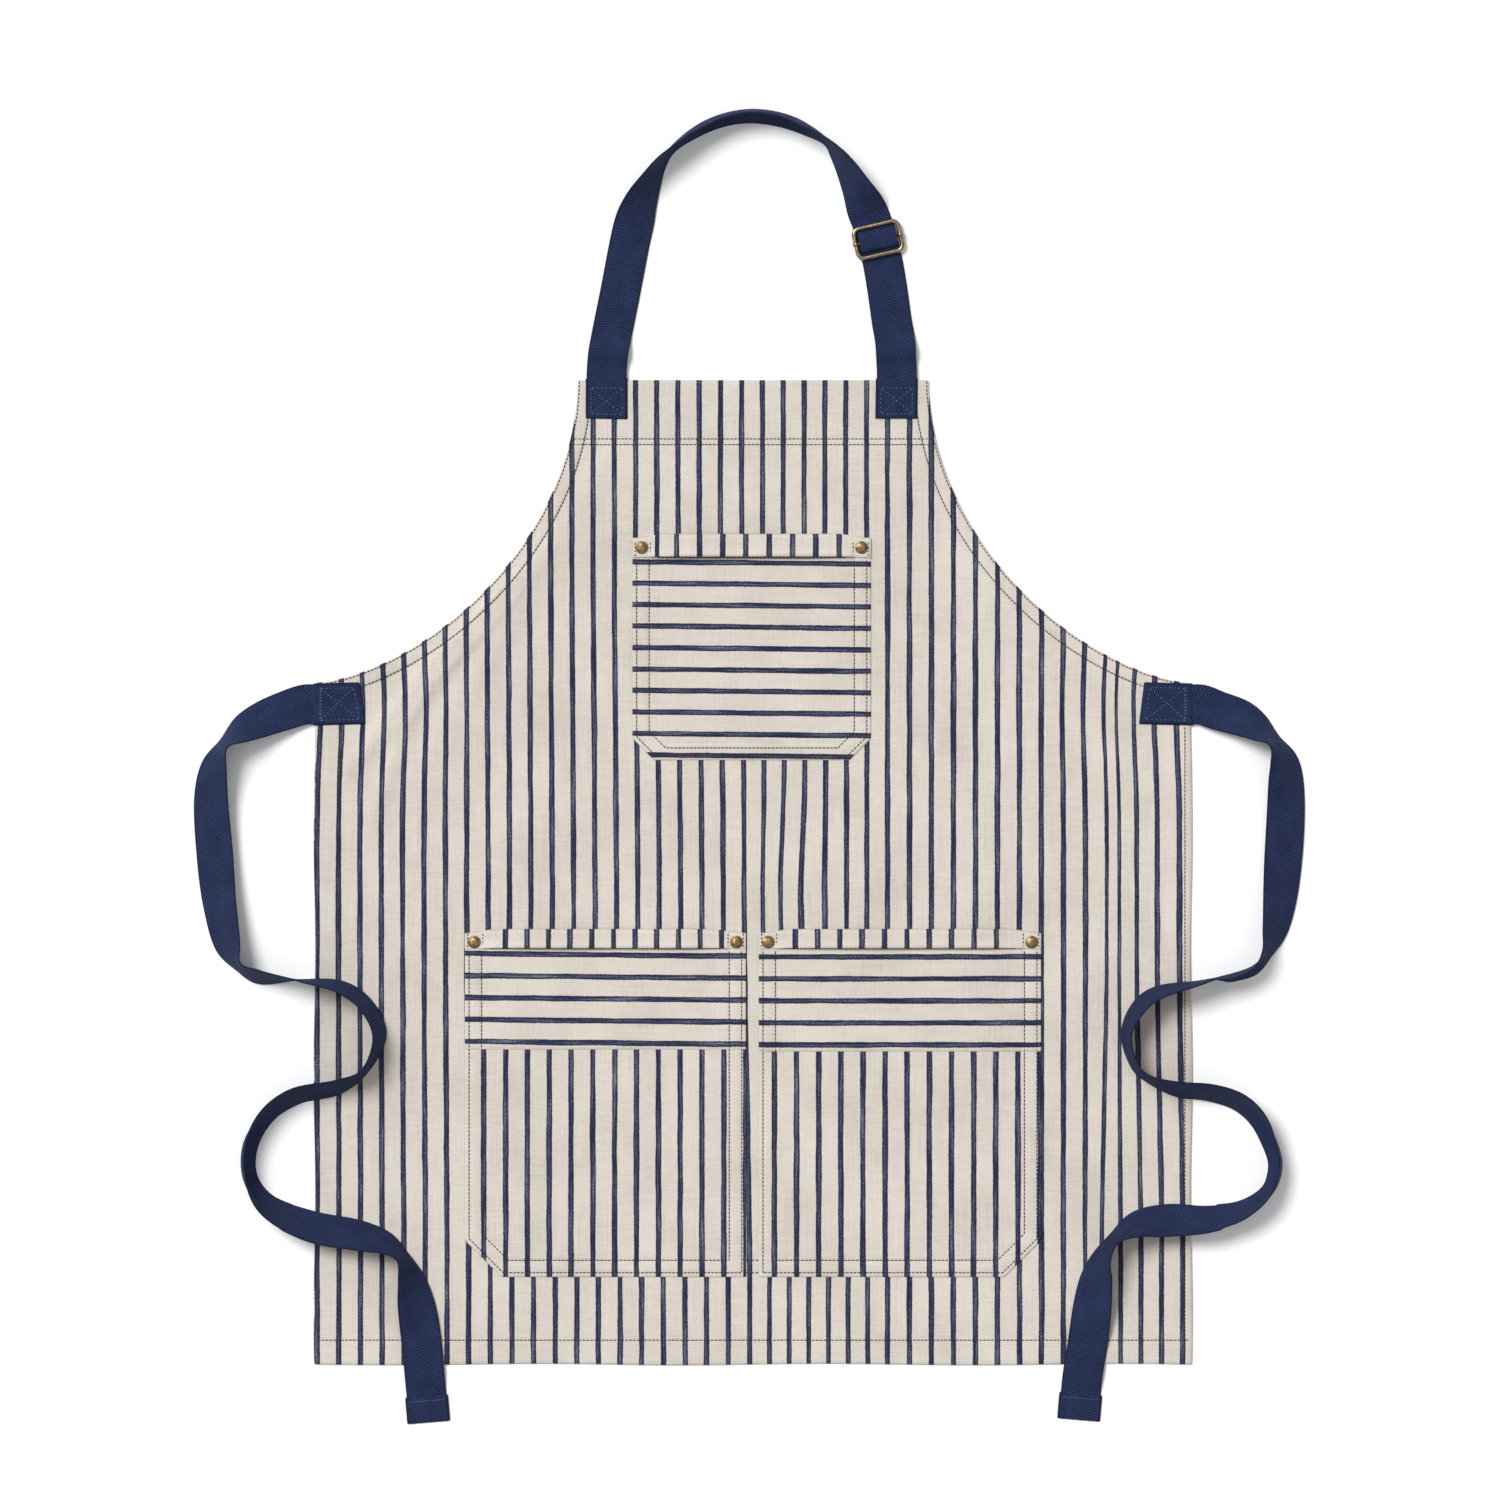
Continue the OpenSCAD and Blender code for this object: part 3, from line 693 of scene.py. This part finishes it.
canvas = canvas_material("striped_canvas")
plain = canvas_material("canvas_facing", wear=1.2)
panel, area = main_panel()
bib_x, bib_y = np.meshgrid(np.linspace(-123, 123, 60), np.linspace(341.5, 392, 16))
facing_piece("bib_facing", bib_x, bib_y)
armhole_facing(-1, "left")
armhole_facing(1, "right")

# rows of stitching on the panel
brown = thread_material("thread_brown", (0.012, 0.010, 0.011), (0.040, 0.033, 0.030))
for seam in BIB_SEAMS:
    reach = float(half_width(np.array(seam))) - 2
    stitch_row("canvas", [(-reach, seam), (reach, seam)], panel_top)
stitch_row("canvas", [(-HALF_W + 1.5, HEM_SEAM), (HALF_W - 1.5, HEM_SEAM)], panel_top)
for side, seam in ((-1, -330.6), (1, 345.4)):
    stitch_row("canvas", [(seam, -HALF_H + 3), (seam, 116)], panel_top)
    for inset, up in ((10.5, 0.3), (1.1, 0.45)):
        curve = (ARM + ARM_INWARD * inset)[3::3]
        stitch_row("canvas", curve * (side, 1), panel_top, up=up)


# ---- the pockets
YOKE_BOTTOM = -141.0
YOKE_LIFT = 0.55
BAND_LIFT = 1.25


class Pocket:
    """One patch pocket: its outline, the height of its cloth and its stitch lines, in mm.

    cut0 and cut1 are the sizes of its left and right cut corners, fullness is how far its mouth stands
    off, and mouth is the height of its band's lower edge.
    """

    def __init__(self, x0, x1, top, bottom, cut0, cut1, fullness, mouth):
        self.x0, self.x1, self.top, self.bottom = x0, x1, top, bottom
        self.cut0, self.cut1, self.fullness, self.mouth = cut0, cut1, fullness, mouth

    def inset(self, x, y):
        """How far (x, y) is inside the sewn edges."""
        r = math.sqrt(0.5)
        d = np.minimum(np.minimum(x - self.x0, self.x1 - x), y - self.bottom)
        if self.cut0:
            d = np.minimum(d, ((x - self.x0) + (y - self.bottom) - self.cut0) * r)
        if self.cut1:
            d = np.minimum(d, ((self.x1 - x) + (y - self.bottom) - self.cut1) * r)
        return d

    def height(self, x, y):
        """Height of the pocket's upper side, with a groove under its band and along its seams."""
        x = np.asarray(x, float)
        y = np.asarray(y, float)
        d = self.inset(x, y)
        t = (y - self.bottom) / (self.top - self.bottom)
        room = smooth((d - 13) / 34)
        full = self.fullness * (0.35 + 0.65 * np.clip(t, 0, 1.05) ** 2)
        ripple = 0.22 * np.sin(x / 17 + 0.7) * np.sin(y / 27) + 0.15 * np.sin(x / 31 - y / 19)
        z = 3.15 + room * (full + ripple)
        z = z + 0.25 * np.exp(-(((d - 8) / 3.2) ** 2))
        z = z - 2.7 * np.exp(-(((y - self.mouth + 1.4) / 1.4) ** 2)) * smooth((d - 16) / 34)
        z = z - 0.32 * np.exp(-(((d - 3) / 0.9) ** 2)) - 0.32 * np.exp(-(((d - 13) / 1.2) ** 2))
        return z - 0.5 * smooth((1.2 - d) / 1.2)

    def row(self, y):
        """X of the mesh's columns at height y, closer together near the seams."""
        edge = np.array([0, 1.0, 2.2, 3.0, 3.9, 6, 8, 10.5, 12, 13, 14.2, 17])
        width = self.x1 - self.x0
        middle = np.linspace(21, width - 21, int(width / 4))
        share = np.concatenate([edge, middle, width - edge[::-1]]) / width
        low = self.x0 + max(self.cut0 - (y - self.bottom), 0)
        high = self.x1 - max(self.cut1 - (y - self.bottom), 0)
        return low + (high - low) * share

    def stitch_height(self, x, y):
        """Height a stitch lies at; the lower pockets' yokes are a second layer over their panels."""
        return float(self.height(x, y)) + (YOKE_LIFT if YOKE_BOTTOM < y < 0 else 0)

    def seam(self, inset, upto, low):
        """The stitch line that follows the sewn edges, from the top left down, across and up."""
        r = math.sqrt(2)
        line = [(self.x0 + inset, upto)]
        if self.cut0:
            line += [(self.x0 + inset, self.bottom + self.cut0 + inset * (r - 1))]
            line += [(self.x0 + self.cut0 + inset * r - low, self.bottom + low)]
        else:
            line += [(self.x0 + inset, self.bottom + low)]
        if self.cut1:
            line += [(self.x1 - self.cut1 - inset * r + low, self.bottom + low)]
            line += [(self.x1 - inset, self.bottom + self.cut1 + inset * (r - 1))]
        else:
            line += [(self.x1 - inset, self.bottom + low)]
        return line + [(self.x1 - inset, upto)]


def row_levels(y0, y1, step, dense):
    """Row heights with extra rows round the seam lines."""
    base = list(np.linspace(y0, y1, max(2, int((y1 - y0) / step))))
    for d in dense:
        base += [d - 1.1, d - 0.5, d, d + 0.5, d + 1.1]
    rows = np.unique(np.clip(base, y0, y1))
    keep = [rows[0]]
    for r in rows[1:-1]:
        if r - keep[-1] > 0.3 and rows[-1] - r > 0.3:
            keep.append(r)
    return np.array(keep + [rows[-1]])


def pocket_piece(name, pocket, y0, y1, lift, phase, material, node):
    """The part of a pocket's cloth between two heights."""
    seams = [pocket.bottom + 3, pocket.bottom + 13]
    groove = [pocket.mouth - 2.6, pocket.mouth - 1.2, pocket.mouth + 0.4]
    ys = row_levels(y0, y1, 3.4, [y for y in seams + groove if y0 < y < y1])
    x = np.array([pocket.row(y) for y in ys])
    y = np.repeat(ys[:, None], x.shape[1], 1)
    top = np.stack([x, y, pocket.height(x, y) + lift], -1)
    attach(slab(name, top, 0.85, phase(x, y), material), node, "apron")


def across_phase(first, pitch, tilt):
    """Stripes that run across: the phase falls with y, with a slight tilt."""
    return lambda x, y: np.stack([(first - tilt * x - y) / pitch, x / 100], -1)


def down_phase(first, pitch):
    """Stripes that run down, one of them at x = first."""
    return lambda x, y: np.stack([(x - first) / pitch, y / 100], -1)


canvas_across = canvas_material("striped_canvas_across")
chest = Pocket(-96, 94, 269, 90, 17, 17, 2.4, 252.6)
left = Pocket(-230, -6, -47, -323.4, 29, 0, 2.2, -60.4)
right = Pocket(5, 230, -47, -323.4, 0, 29, 2.2, -60.4)

pocket_piece(
    "canvas_chest_pocket", chest, 90, 266, 0,
    across_phase(247.25, 17.16, 0.0101), canvas_across, "chest_pocket_panel",
)
pocket_piece(
    "canvas_pocket_left", left, -323.4, -139.5, 0,
    down_phase(-23.3, 17.45), canvas, "left_pocket_panel",
)
pocket_piece(
    "canvas_pocket_right", right, -323.4, -141.5, 0,
    down_phase(17.1, 17.7), canvas, "right_pocket_panel",
)
pocket_piece(
    "canvas_yoke_left", left, -141.4, -50, YOKE_LIFT,
    across_phase(-67.3, 17.6, 0.0100), canvas_across, "left_pocket_yoke",
)
pocket_piece(
    "canvas_yoke_right", right, -143.0, -50, YOKE_LIFT,
    across_phase(-67.7, 17.6, 0.0), canvas_across, "right_pocket_yoke",
)


def band_piece(name, pocket, phase, node, stand):
    """The band folded over a pocket's mouth: its fold is rounded and its lower edge stands off."""
    lower = pocket.mouth
    ys = np.concatenate([
        np.linspace(lower, lower + 3, 4), np.linspace(lower + 4, pocket.top - 3, 6),
        pocket.top + np.array([-2.2, -1.4, -0.7, -0.1, 0.4, 0.8, 1.0]),
    ])
    width = pocket.x1 - pocket.x0
    xs = pocket.x0 + np.concatenate([
        [0, 0.6, 1.6, 4, 8, 11, 13, 14.5], np.linspace(16.5, width - 16.5, int(width / 4)),
        width - np.array([14.5, 13, 11, 8, 4, 1.6, 0.6, 0]),
    ])
    x = np.repeat(xs[None, :], len(ys), 0)
    y = np.repeat(ys[:, None], len(xs), 1)
    t = (x - pocket.x0) / width
    corner = smooth((16 - np.minimum(x - pocket.x0, pocket.x1 - x)) / 4)
    bow = 2.6 * smooth(np.minimum(t, 1 - t) / 0.12)
    z = pocket.height(x, np.minimum(y, pocket.top)) + BAND_LIFT
    z = z + 0.25 * np.sin(x / 13) * (1 - corner)
    fold = np.clip((y - (pocket.top - 2.2)) / 3.2, 0, 1)
    z = z - 2.6 * (1 - np.sqrt(np.clip(1 - fold**2, 0, 1))) * (1 - 0.4 * corner)
    z = z + stand * smooth((lower + 7 - y) / 7) * (1 - corner)
    share = np.clip((y - lower) / (pocket.top - lower), 0, 1)
    y = y + (bow - 2.6 - 0.6 * corner) * (0.25 + 0.75 * share)
    top = np.stack([x, y, z], -1)
    attach(slab(name, top, 1.0, phase(x, y), canvas_band), node, "apron")


def band_phase(first, pitch, count, lead):
    """Stripes of a band: count of them from the first, none beside the rivets; lead is the first gap."""

    def phase(x, y):
        number = np.where(x < first + lead, (x - first) / lead, 1 + (x - first - lead) / pitch)
        return np.stack([np.clip(number, -0.5, count - 0.5), y / 100], -1)

    return phase


def pocket_stitches(pocket, upto, inner_low, shadow_row_radius):
    """The two rows round a pocket, the row under its band and the short rows beside its rivets; the row
    under the band also paints the shadow under the band's lower edge.
    """
    for inset, low in ((3.0, 3.0), (13.0, inner_low)):
        stitch_row("canvas", pocket.seam(inset, upto, low), pocket.stitch_height, up=0.2)
    # the row under the band is sewn without gaps and thick: a real stitch line that also stands in as
    # painted shadow under the band's lower edge
    hem = [(pocket.x0 + 20, pocket.mouth - 0.9), (pocket.x1 - 20, pocket.mouth - 0.9)]
    stitch_row("canvas", hem, pocket.stitch_height, 3.0, 3.0, shadow_row_radius)

    def on_band(x, y):
        return float(pocket.height(x, y)) + BAND_LIFT

    for x in (pocket.x0 + 1.8, pocket.x0 + 14.0, pocket.x1 - 14.0, pocket.x1 - 1.8):
        stitch_row("canvas", [(x, upto + 2.4), (x, upto + 14.5)], on_band, pitch=2.6, length=1.9, up=0.2)


canvas_band = canvas_material("striped_canvas_band", pitch=17.6)
# the last column is the radius of the row under each band, which also paints the shadow line under the
# band's edge, thickest on the chest pocket
for key, pocket, stripes, stand, upto, inner_low, shadow_row_radius in (
    ("chest", chest, (-76.6, 18.6, 9, 15.2), 2.8, 249.5, 9.3, 0.6),
    ("left", left, (-198.0, 17.3, 11, 17.3), 1.7, -63, 13.0, 0.36),
    ("right", right, (33.7, 17.86, 10, 17.86), 1.7, -63, 13.0, 0.36),
):
    band_piece("canvas_band_" + key, pocket, band_phase(*stripes), key + "_pocket_band", stand)
    pocket_stitches(pocket, upto, inner_low, shadow_row_radius)
for y in (-310.4, -320.4):
    stitch_row("canvas", [(-6, y), (5, y)], panel_top, up=0.3)
finish_stitches("canvas", "topstitching_canvas", brown, "apron")

# ---- rivets
rivet_brass = brass_material("aged_brass", (0.17, 0.115, 0.05), (0.38, 0.275, 0.13), 0.42, 0.55)
buckle_brass = brass_material("antique_brass", (0.21, 0.15, 0.095), (0.40, 0.31, 0.205), 0.32, 0.35)
RIVETS = [(-88.8, 259.4), (86.8, 259.4), (-222.8, -56), (-13.2, -56), (12.2, -56), (222.8, -56)]


def lathe(cx, cy, profile):
    """A round solid about an upright axis, from (radius, height) points."""
    sides = 40
    verts, faces = [], []
    for r, z in profile:
        for k in range(sides):
            a = 2 * math.pi * k / sides
            verts.append((cx + r * math.cos(a), cy + r * math.sin(a), z))
    for i in range(len(profile) - 1):
        for k in range(sides):
            j = (k + 1) % sides
            faces.append((i * sides + k, i * sides + j, (i + 1) * sides + j, (i + 1) * sides + k))
    faces.append(tuple(range(sides))[::-1])
    faces.append(tuple((len(profile) - 1) * sides + k for k in range(sides)))
    return verts, faces


def rivet_caps():
    """All six caps: a rolled rim with a shallow dome in it."""
    verts, faces = [], []
    profile = [(4.2, 4.1), (4.9, 4.15), (5.15, 4.5), (5.05, 4.95), (4.6, 5.2), (4.35, 5.2), (4.2, 5.35)]
    profile += [(4.1 * math.cos(a), 5.35 + math.sin(a)) for a in np.linspace(0.12, 1.5, 9)]
    for cx, cy in RIVETS:
        v, f = lathe(cx, cy, profile)
        base = len(verts)
        verts += v
        faces += [tuple(base + i for i in face) for face in f]
    return make_object("rivet_domes", verts, faces, None, rivet_brass)


attach(rivet_caps(), "rivet_caps", "apron")
for name in ("rivet_posts", "rivet_backs"):
    node = bpy.data.objects[name]
    node.data.materials.clear()
    node.data.materials.append(rivet_brass)

# ---- sewn ends and hems of webbing
blue = thread_material("thread_blue", (0.06, 0.09, 0.19), (0.15, 0.21, 0.35))


PAD_TOP = 4.4
PAD_STITCHES = 4.42


def web_pad(name, corners, along_first, node):
    """A doubled webbing end: corners are (-X-Y, +X-Y, +X+Y, -X+Y) of its outline."""
    a, b, c, d = [np.array(p, float) for p in corners]
    share = 0.5 - 0.5 * np.cos(np.pi * np.linspace(0, 1, 25))
    u, v = np.meshgrid(share, share)
    lower = a + u[..., None] * (b - a)
    upper = d + u[..., None] * (c - d)
    xy = lower + v[..., None] * (upper - lower)
    size = np.linalg.norm(b - a)
    rim = np.minimum(np.minimum(u, 1 - u), np.minimum(v, 1 - v)) * size
    puff = 0.175 * np.sin(u * 9 + 0.5) * np.sin(v * 8) * smooth(rim / 5)
    z = PAD_TOP - 0.7 * (1 - smooth(rim / 1.3)) + puff
    along, cross = (u, v) if along_first else (v, u)
    uv = np.stack([along * size / 100, (cross - 0.5) * WEB_W / 100], -1)
    top = np.concatenate([xy, z[..., None]], -1)
    attach(slab(name, top, 2.3, uv, webbing, 0.35), node, "apron")


def flat_height(z):
    """A surface at one height, for stitches on flat webbing."""
    return lambda x, y: z


def box_cross(corners, inset):
    """A sewn box with a cross in it, on a pad with these corners."""
    c = np.clip(corners, (-350, 0), (350, 390)).astype(float)
    mid = c.mean(0)
    p = [q + (mid - q) / np.linalg.norm(mid - q) * inset * 1.41 for q in c]
    for i, j in ((0, 1), (1, 2), (2, 3), (3, 0), (0, 2), (1, 3)):
        stitch_row("web", [p[i], p[j]], flat_height(PAD_STITCHES), pitch=3.3, length=2.0, radius=0.28)


for kind, strap, side, inset, corners in (
    ("neck", "neck_strap", "left", 3.2, [(-133, 363.4), (-101, 362.8), (-101, 394), (-133, 394)]),
    ("neck", "neck_strap", "right", 3.2, [(98.6, 363.4), (130.6, 363.4), (131, 394), (99, 394)]),
    ("tie", "waist_tie", "left", 3.6, [(-351, 118), (-310.5, 119), (-315.5, 151), (-351, 150)]),
    ("tie", "waist_tie", "right", 3.6, [(309.5, 119), (351, 118), (351, 150), (313.5, 151)]),
):
    web_pad(f"webbing_{kind}_end_{side}", corners, kind == "tie", f"{strap}_sewn_end_{side}")
    box_cross(corners, inset)
# a column of short stitches across each tie's pad, beside the panel's edge
for side in (-1, 1):
    for y in np.arange(121, 148, 2.6):
        tack = [(side * 344.2, y), (side * 346.6, y + 0.3)]
        stitch_row("web", tack, flat_height(PAD_STITCHES), length=2.2, radius=0.3)
finish_stitches("web", "topstitching_webbing", blue, "apron")


def tie_end(label, line, body):
    """The turned hem at a tie's free end, with its row of stitches."""
    end = line[-1]
    way = line[-1] - line[-4]
    way[2] = 0
    way /= np.linalg.norm(way)
    side = np.array([-way[1], way[0], 0])
    # columns run from the tie's right side to its left, so that the upper side faces up
    along = np.linspace(-1.2, 18.6, 14)[:, None]
    across = np.linspace(16.4, -16.4, 27)[None, :]
    rim = np.minimum(16.4 - np.abs(across), np.minimum(along + 1.2, 18.6 - along))
    top = end + way * along[..., None] + side * across[..., None]
    top[..., 2] = 2.75 - 0.8 * (1 - smooth(rim / 1.2)) + 0.12 * np.sin(across * 0.8)
    uv = np.stack(np.broadcast_arrays(along / 100, across / 100), -1)
    hem = slab("webbing_hem_" + label, top, 2.4, uv, webbing, 0.35)
    group = "hem_" + label
    start = end + way * 1.8
    row = [start - side * 14.5, start + side * 14.5]
    stitch_row(group, row, flat_height(2.78), pitch=2.6, length=1.9, radius=0.25)
    finish_stitches(group, "topstitching_hem_" + label, blue, body)
    return attach(hem, "waist_tie_end_hem_" + label, body)


hem_left = tie_end("left", left_line, "tie_left")
hem_right = tie_end("right", right_line, "tie_right")

# ---- the buckle
BUCKLE_AT = (100.0, 505.6, 4.65)
BUCKLE_TURN = math.radians(13)
BUCKLE_HALF_X = 18.2
BUCKLE_HALF_Y = 12.0
ACROSS_BUCKLE = np.array([-math.cos(BUCKLE_TURN), -math.sin(BUCKLE_TURN), 0.0])


def at_buckle(points):
    """Points of the buckle's own frame, put where the buckle lies."""
    p = np.asarray(points, float)
    c, s = math.cos(BUCKLE_TURN), math.sin(BUCKLE_TURN)
    turned = np.stack([p[:, 0] * c - p[:, 1] * s, p[:, 0] * s + p[:, 1] * c, p[:, 2]], 1)
    return turned + BUCKLE_AT


def wire(path, radius, sides=20, closed=True, squeeze=1.0):
    """Round wire along a path with a radius at each point; squeeze flattens it. Returns points and faces."""
    p = np.asarray(path, float)
    n = len(p)
    verts, faces = [], []
    for i in range(n):
        a, b = (p[i - 1], p[(i + 1) % n]) if closed else (p[max(i - 1, 0)], p[min(i + 1, n - 1)])
        way = (b - a) / np.linalg.norm(b - a)
        side = np.cross(way, (0, 0, 1))
        side /= np.linalg.norm(side)
        top = np.cross(side, way)
        for t in 2 * math.pi * np.arange(sides) / sides:
            verts.append(p[i] + radius[i] * (math.cos(t) * side + squeeze * math.sin(t) * top))
    for i in range(n if closed else n - 1):
        j = (i + 1) % n
        for k in range(sides):
            m = (k + 1) % sides
            faces.append((i * sides + k, j * sides + k, j * sides + m, i * sides + m))
    if not closed:
        faces.append(tuple(range(sides)))
        faces.append(tuple((n - 1) * sides + k for k in range(sides))[::-1])
    return verts, faces


def buckle_frame():
    """The bent wire, with the nick where its ends meet on the left side."""
    bend = 5.0
    mid_x, mid_y = BUCKLE_HALF_X - bend, BUCKLE_HALF_Y - bend
    corners = []
    for x, y, start in ((mid_x, mid_y, 0), (-mid_x, mid_y, 90), (-mid_x, -mid_y, 180), (mid_x, -mid_y, 270)):
        for a in np.radians(np.linspace(start, start + 90, 12)):
            corners.append(np.array([x + bend * math.cos(a), y + bend * math.sin(a), 0]))
    path = []
    for i, p in enumerate(corners):
        q = corners[(i + 1) % len(corners)]
        steps = max(1, int(np.linalg.norm(q - p) / 1.2))
        path += [p + (q - p) * k / steps for k in range(steps)]
    nick = [math.exp(-((math.hypot(p[0] + BUCKLE_HALF_X, p[1] + 1.6) / 0.55) ** 2)) for p in path]
    verts, faces = wire(path, 1.84 - 0.32 * np.array(nick), squeeze=0.88)
    return make_object("buckle_wire_frame", at_buckle(verts), faces, None, buckle_brass)


def buckle_bar():
    """The centre bar and the collar at each of its ends."""
    line = [(x, 0, 0) for x in np.linspace(-16.4, 16.4, 24)]
    verts, faces = wire(line, [1.2] * len(line), closed=False)
    for s in (-1, 1):
        collar = [(s * BUCKLE_HALF_X, y, 0) for y in np.linspace(-1.7, 1.7, 9)]
        v, f = wire(collar, [2.1, 2.35, 2.45, 2.5, 2.5, 2.5, 2.45, 2.35, 2.1], sides=24, closed=False)
        base = len(verts)
        verts += v
        faces += [tuple(base + i for i in face) for face in f]
    return make_object("buckle_cross_bar", at_buckle(verts), faces, None, buckle_brass)


def buckle_strap(name, line, width, thickness=WEB_T):
    """A short length of webbing across the buckle, from (y, z) points of the buckle's own frame."""
    centres = at_buckle(np.insert(np.asarray(line, float), 0, 0, axis=1))
    way = np.gradient(centres, axis=0)
    way /= np.linalg.norm(way, axis=1, keepdims=True)
    across = np.repeat(ACROSS_BUCKLE[None], len(centres), 0)
    return ribbon(name, centres, across, np.cross(way, across), width=width, thickness=thickness)


def bight():
    """The strap's hump over the bar, from under one cross wire to under the other."""
    half = [
        (0.6, 3.4), (3.0, 3.25), (5.2, 2.7), (6.7, 1.5),
        (7.4, -0.1), (8.1, -1.3), (9.4, -1.7), (13.4, -1.7),
    ]
    line = [(-y, z, 0) for y, z in half[::-1]] + [(y, z, 0) for y, z in half]
    return buckle_strap("webbing_over_bar", catmull(line, 0.6)[:, :2], 31)


def anchor_loop():
    """The long strap's sewn end, wrapped round the bar and open below."""
    around = np.linspace(0.9, 2 * math.pi - 0.9, 25)
    line = 1.95 * np.stack([np.sin(around), np.cos(around)], 1)
    return buckle_strap("webbing_round_bar", line, 30, 1.2)


on_long_strap = [
    attach(buckle_frame(), "buckle_frame", "buckle"),
    attach(buckle_bar(), "buckle_centre_bar", "buckle"),
    attach(bight(), "neck_strap_bight", "buckle"),
    attach(anchor_loop(), "neck_strap_anchor_loop", "buckle"),
    short_strap,
]

# ---- the straps' placement baked into their meshes
for strap in (long_strap, short_strap):
    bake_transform(strap)


for tie, side, body in ((left_tie, -1, "tie_left"), (right_tie, 1, "tie_right")):
    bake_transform(tie)


def declare(line):
    """Sample a strap's centre line in metres, every step-th point and its last one; the path is not kept."""
    step = max(1, len(line) // 120)
    path = [tuple(p * MM) for p in line[::step]]
    if tuple(line[-1] * MM) != path[-1]:
        path.append(tuple(line[-1] * MM))


declare(left_line)
declare(right_line)
declare(long_line)

# ---- floor and light
bpy.ops.mesh.primitive_plane_add(size=12, location=(0, 0, -0.0004))
floor = bpy.context.object
floor.name = "floor"
paper = Nodes("pale_floor", (0.97, 0.97, 0.97), 0.9)
grain = paper.noise(paper.object_coords(), 3, 2)
paper.color(paper.mix(paper.ramp(grain, 0.3, 0.7), (0.965, 0.965, 0.965), (0.975, 0.975, 0.975)))
floor.data.materials.append(paper.material)

world = bpy.data.worlds.new("studio")
world.use_nodes = True
sky = world.node_tree.nodes["Background"].inputs
sky["Color"].default_value = (1, 1, 1, 1)
sky["Strength"].default_value = 0.53
bpy.context.scene.world = world

key = bpy.data.objects.new("key", bpy.data.lights.new("key", "SUN"))
key.data.energy = 2.5
key.data.angle = math.radians(24)
key.rotation_euler = Vector((-0.50, 0.45, 1.0)).to_track_quat("Z", "Y").to_euler()
bpy.context.collection.objects.link(key)
bpy.context.scene.view_settings.view_transform = "Standard"
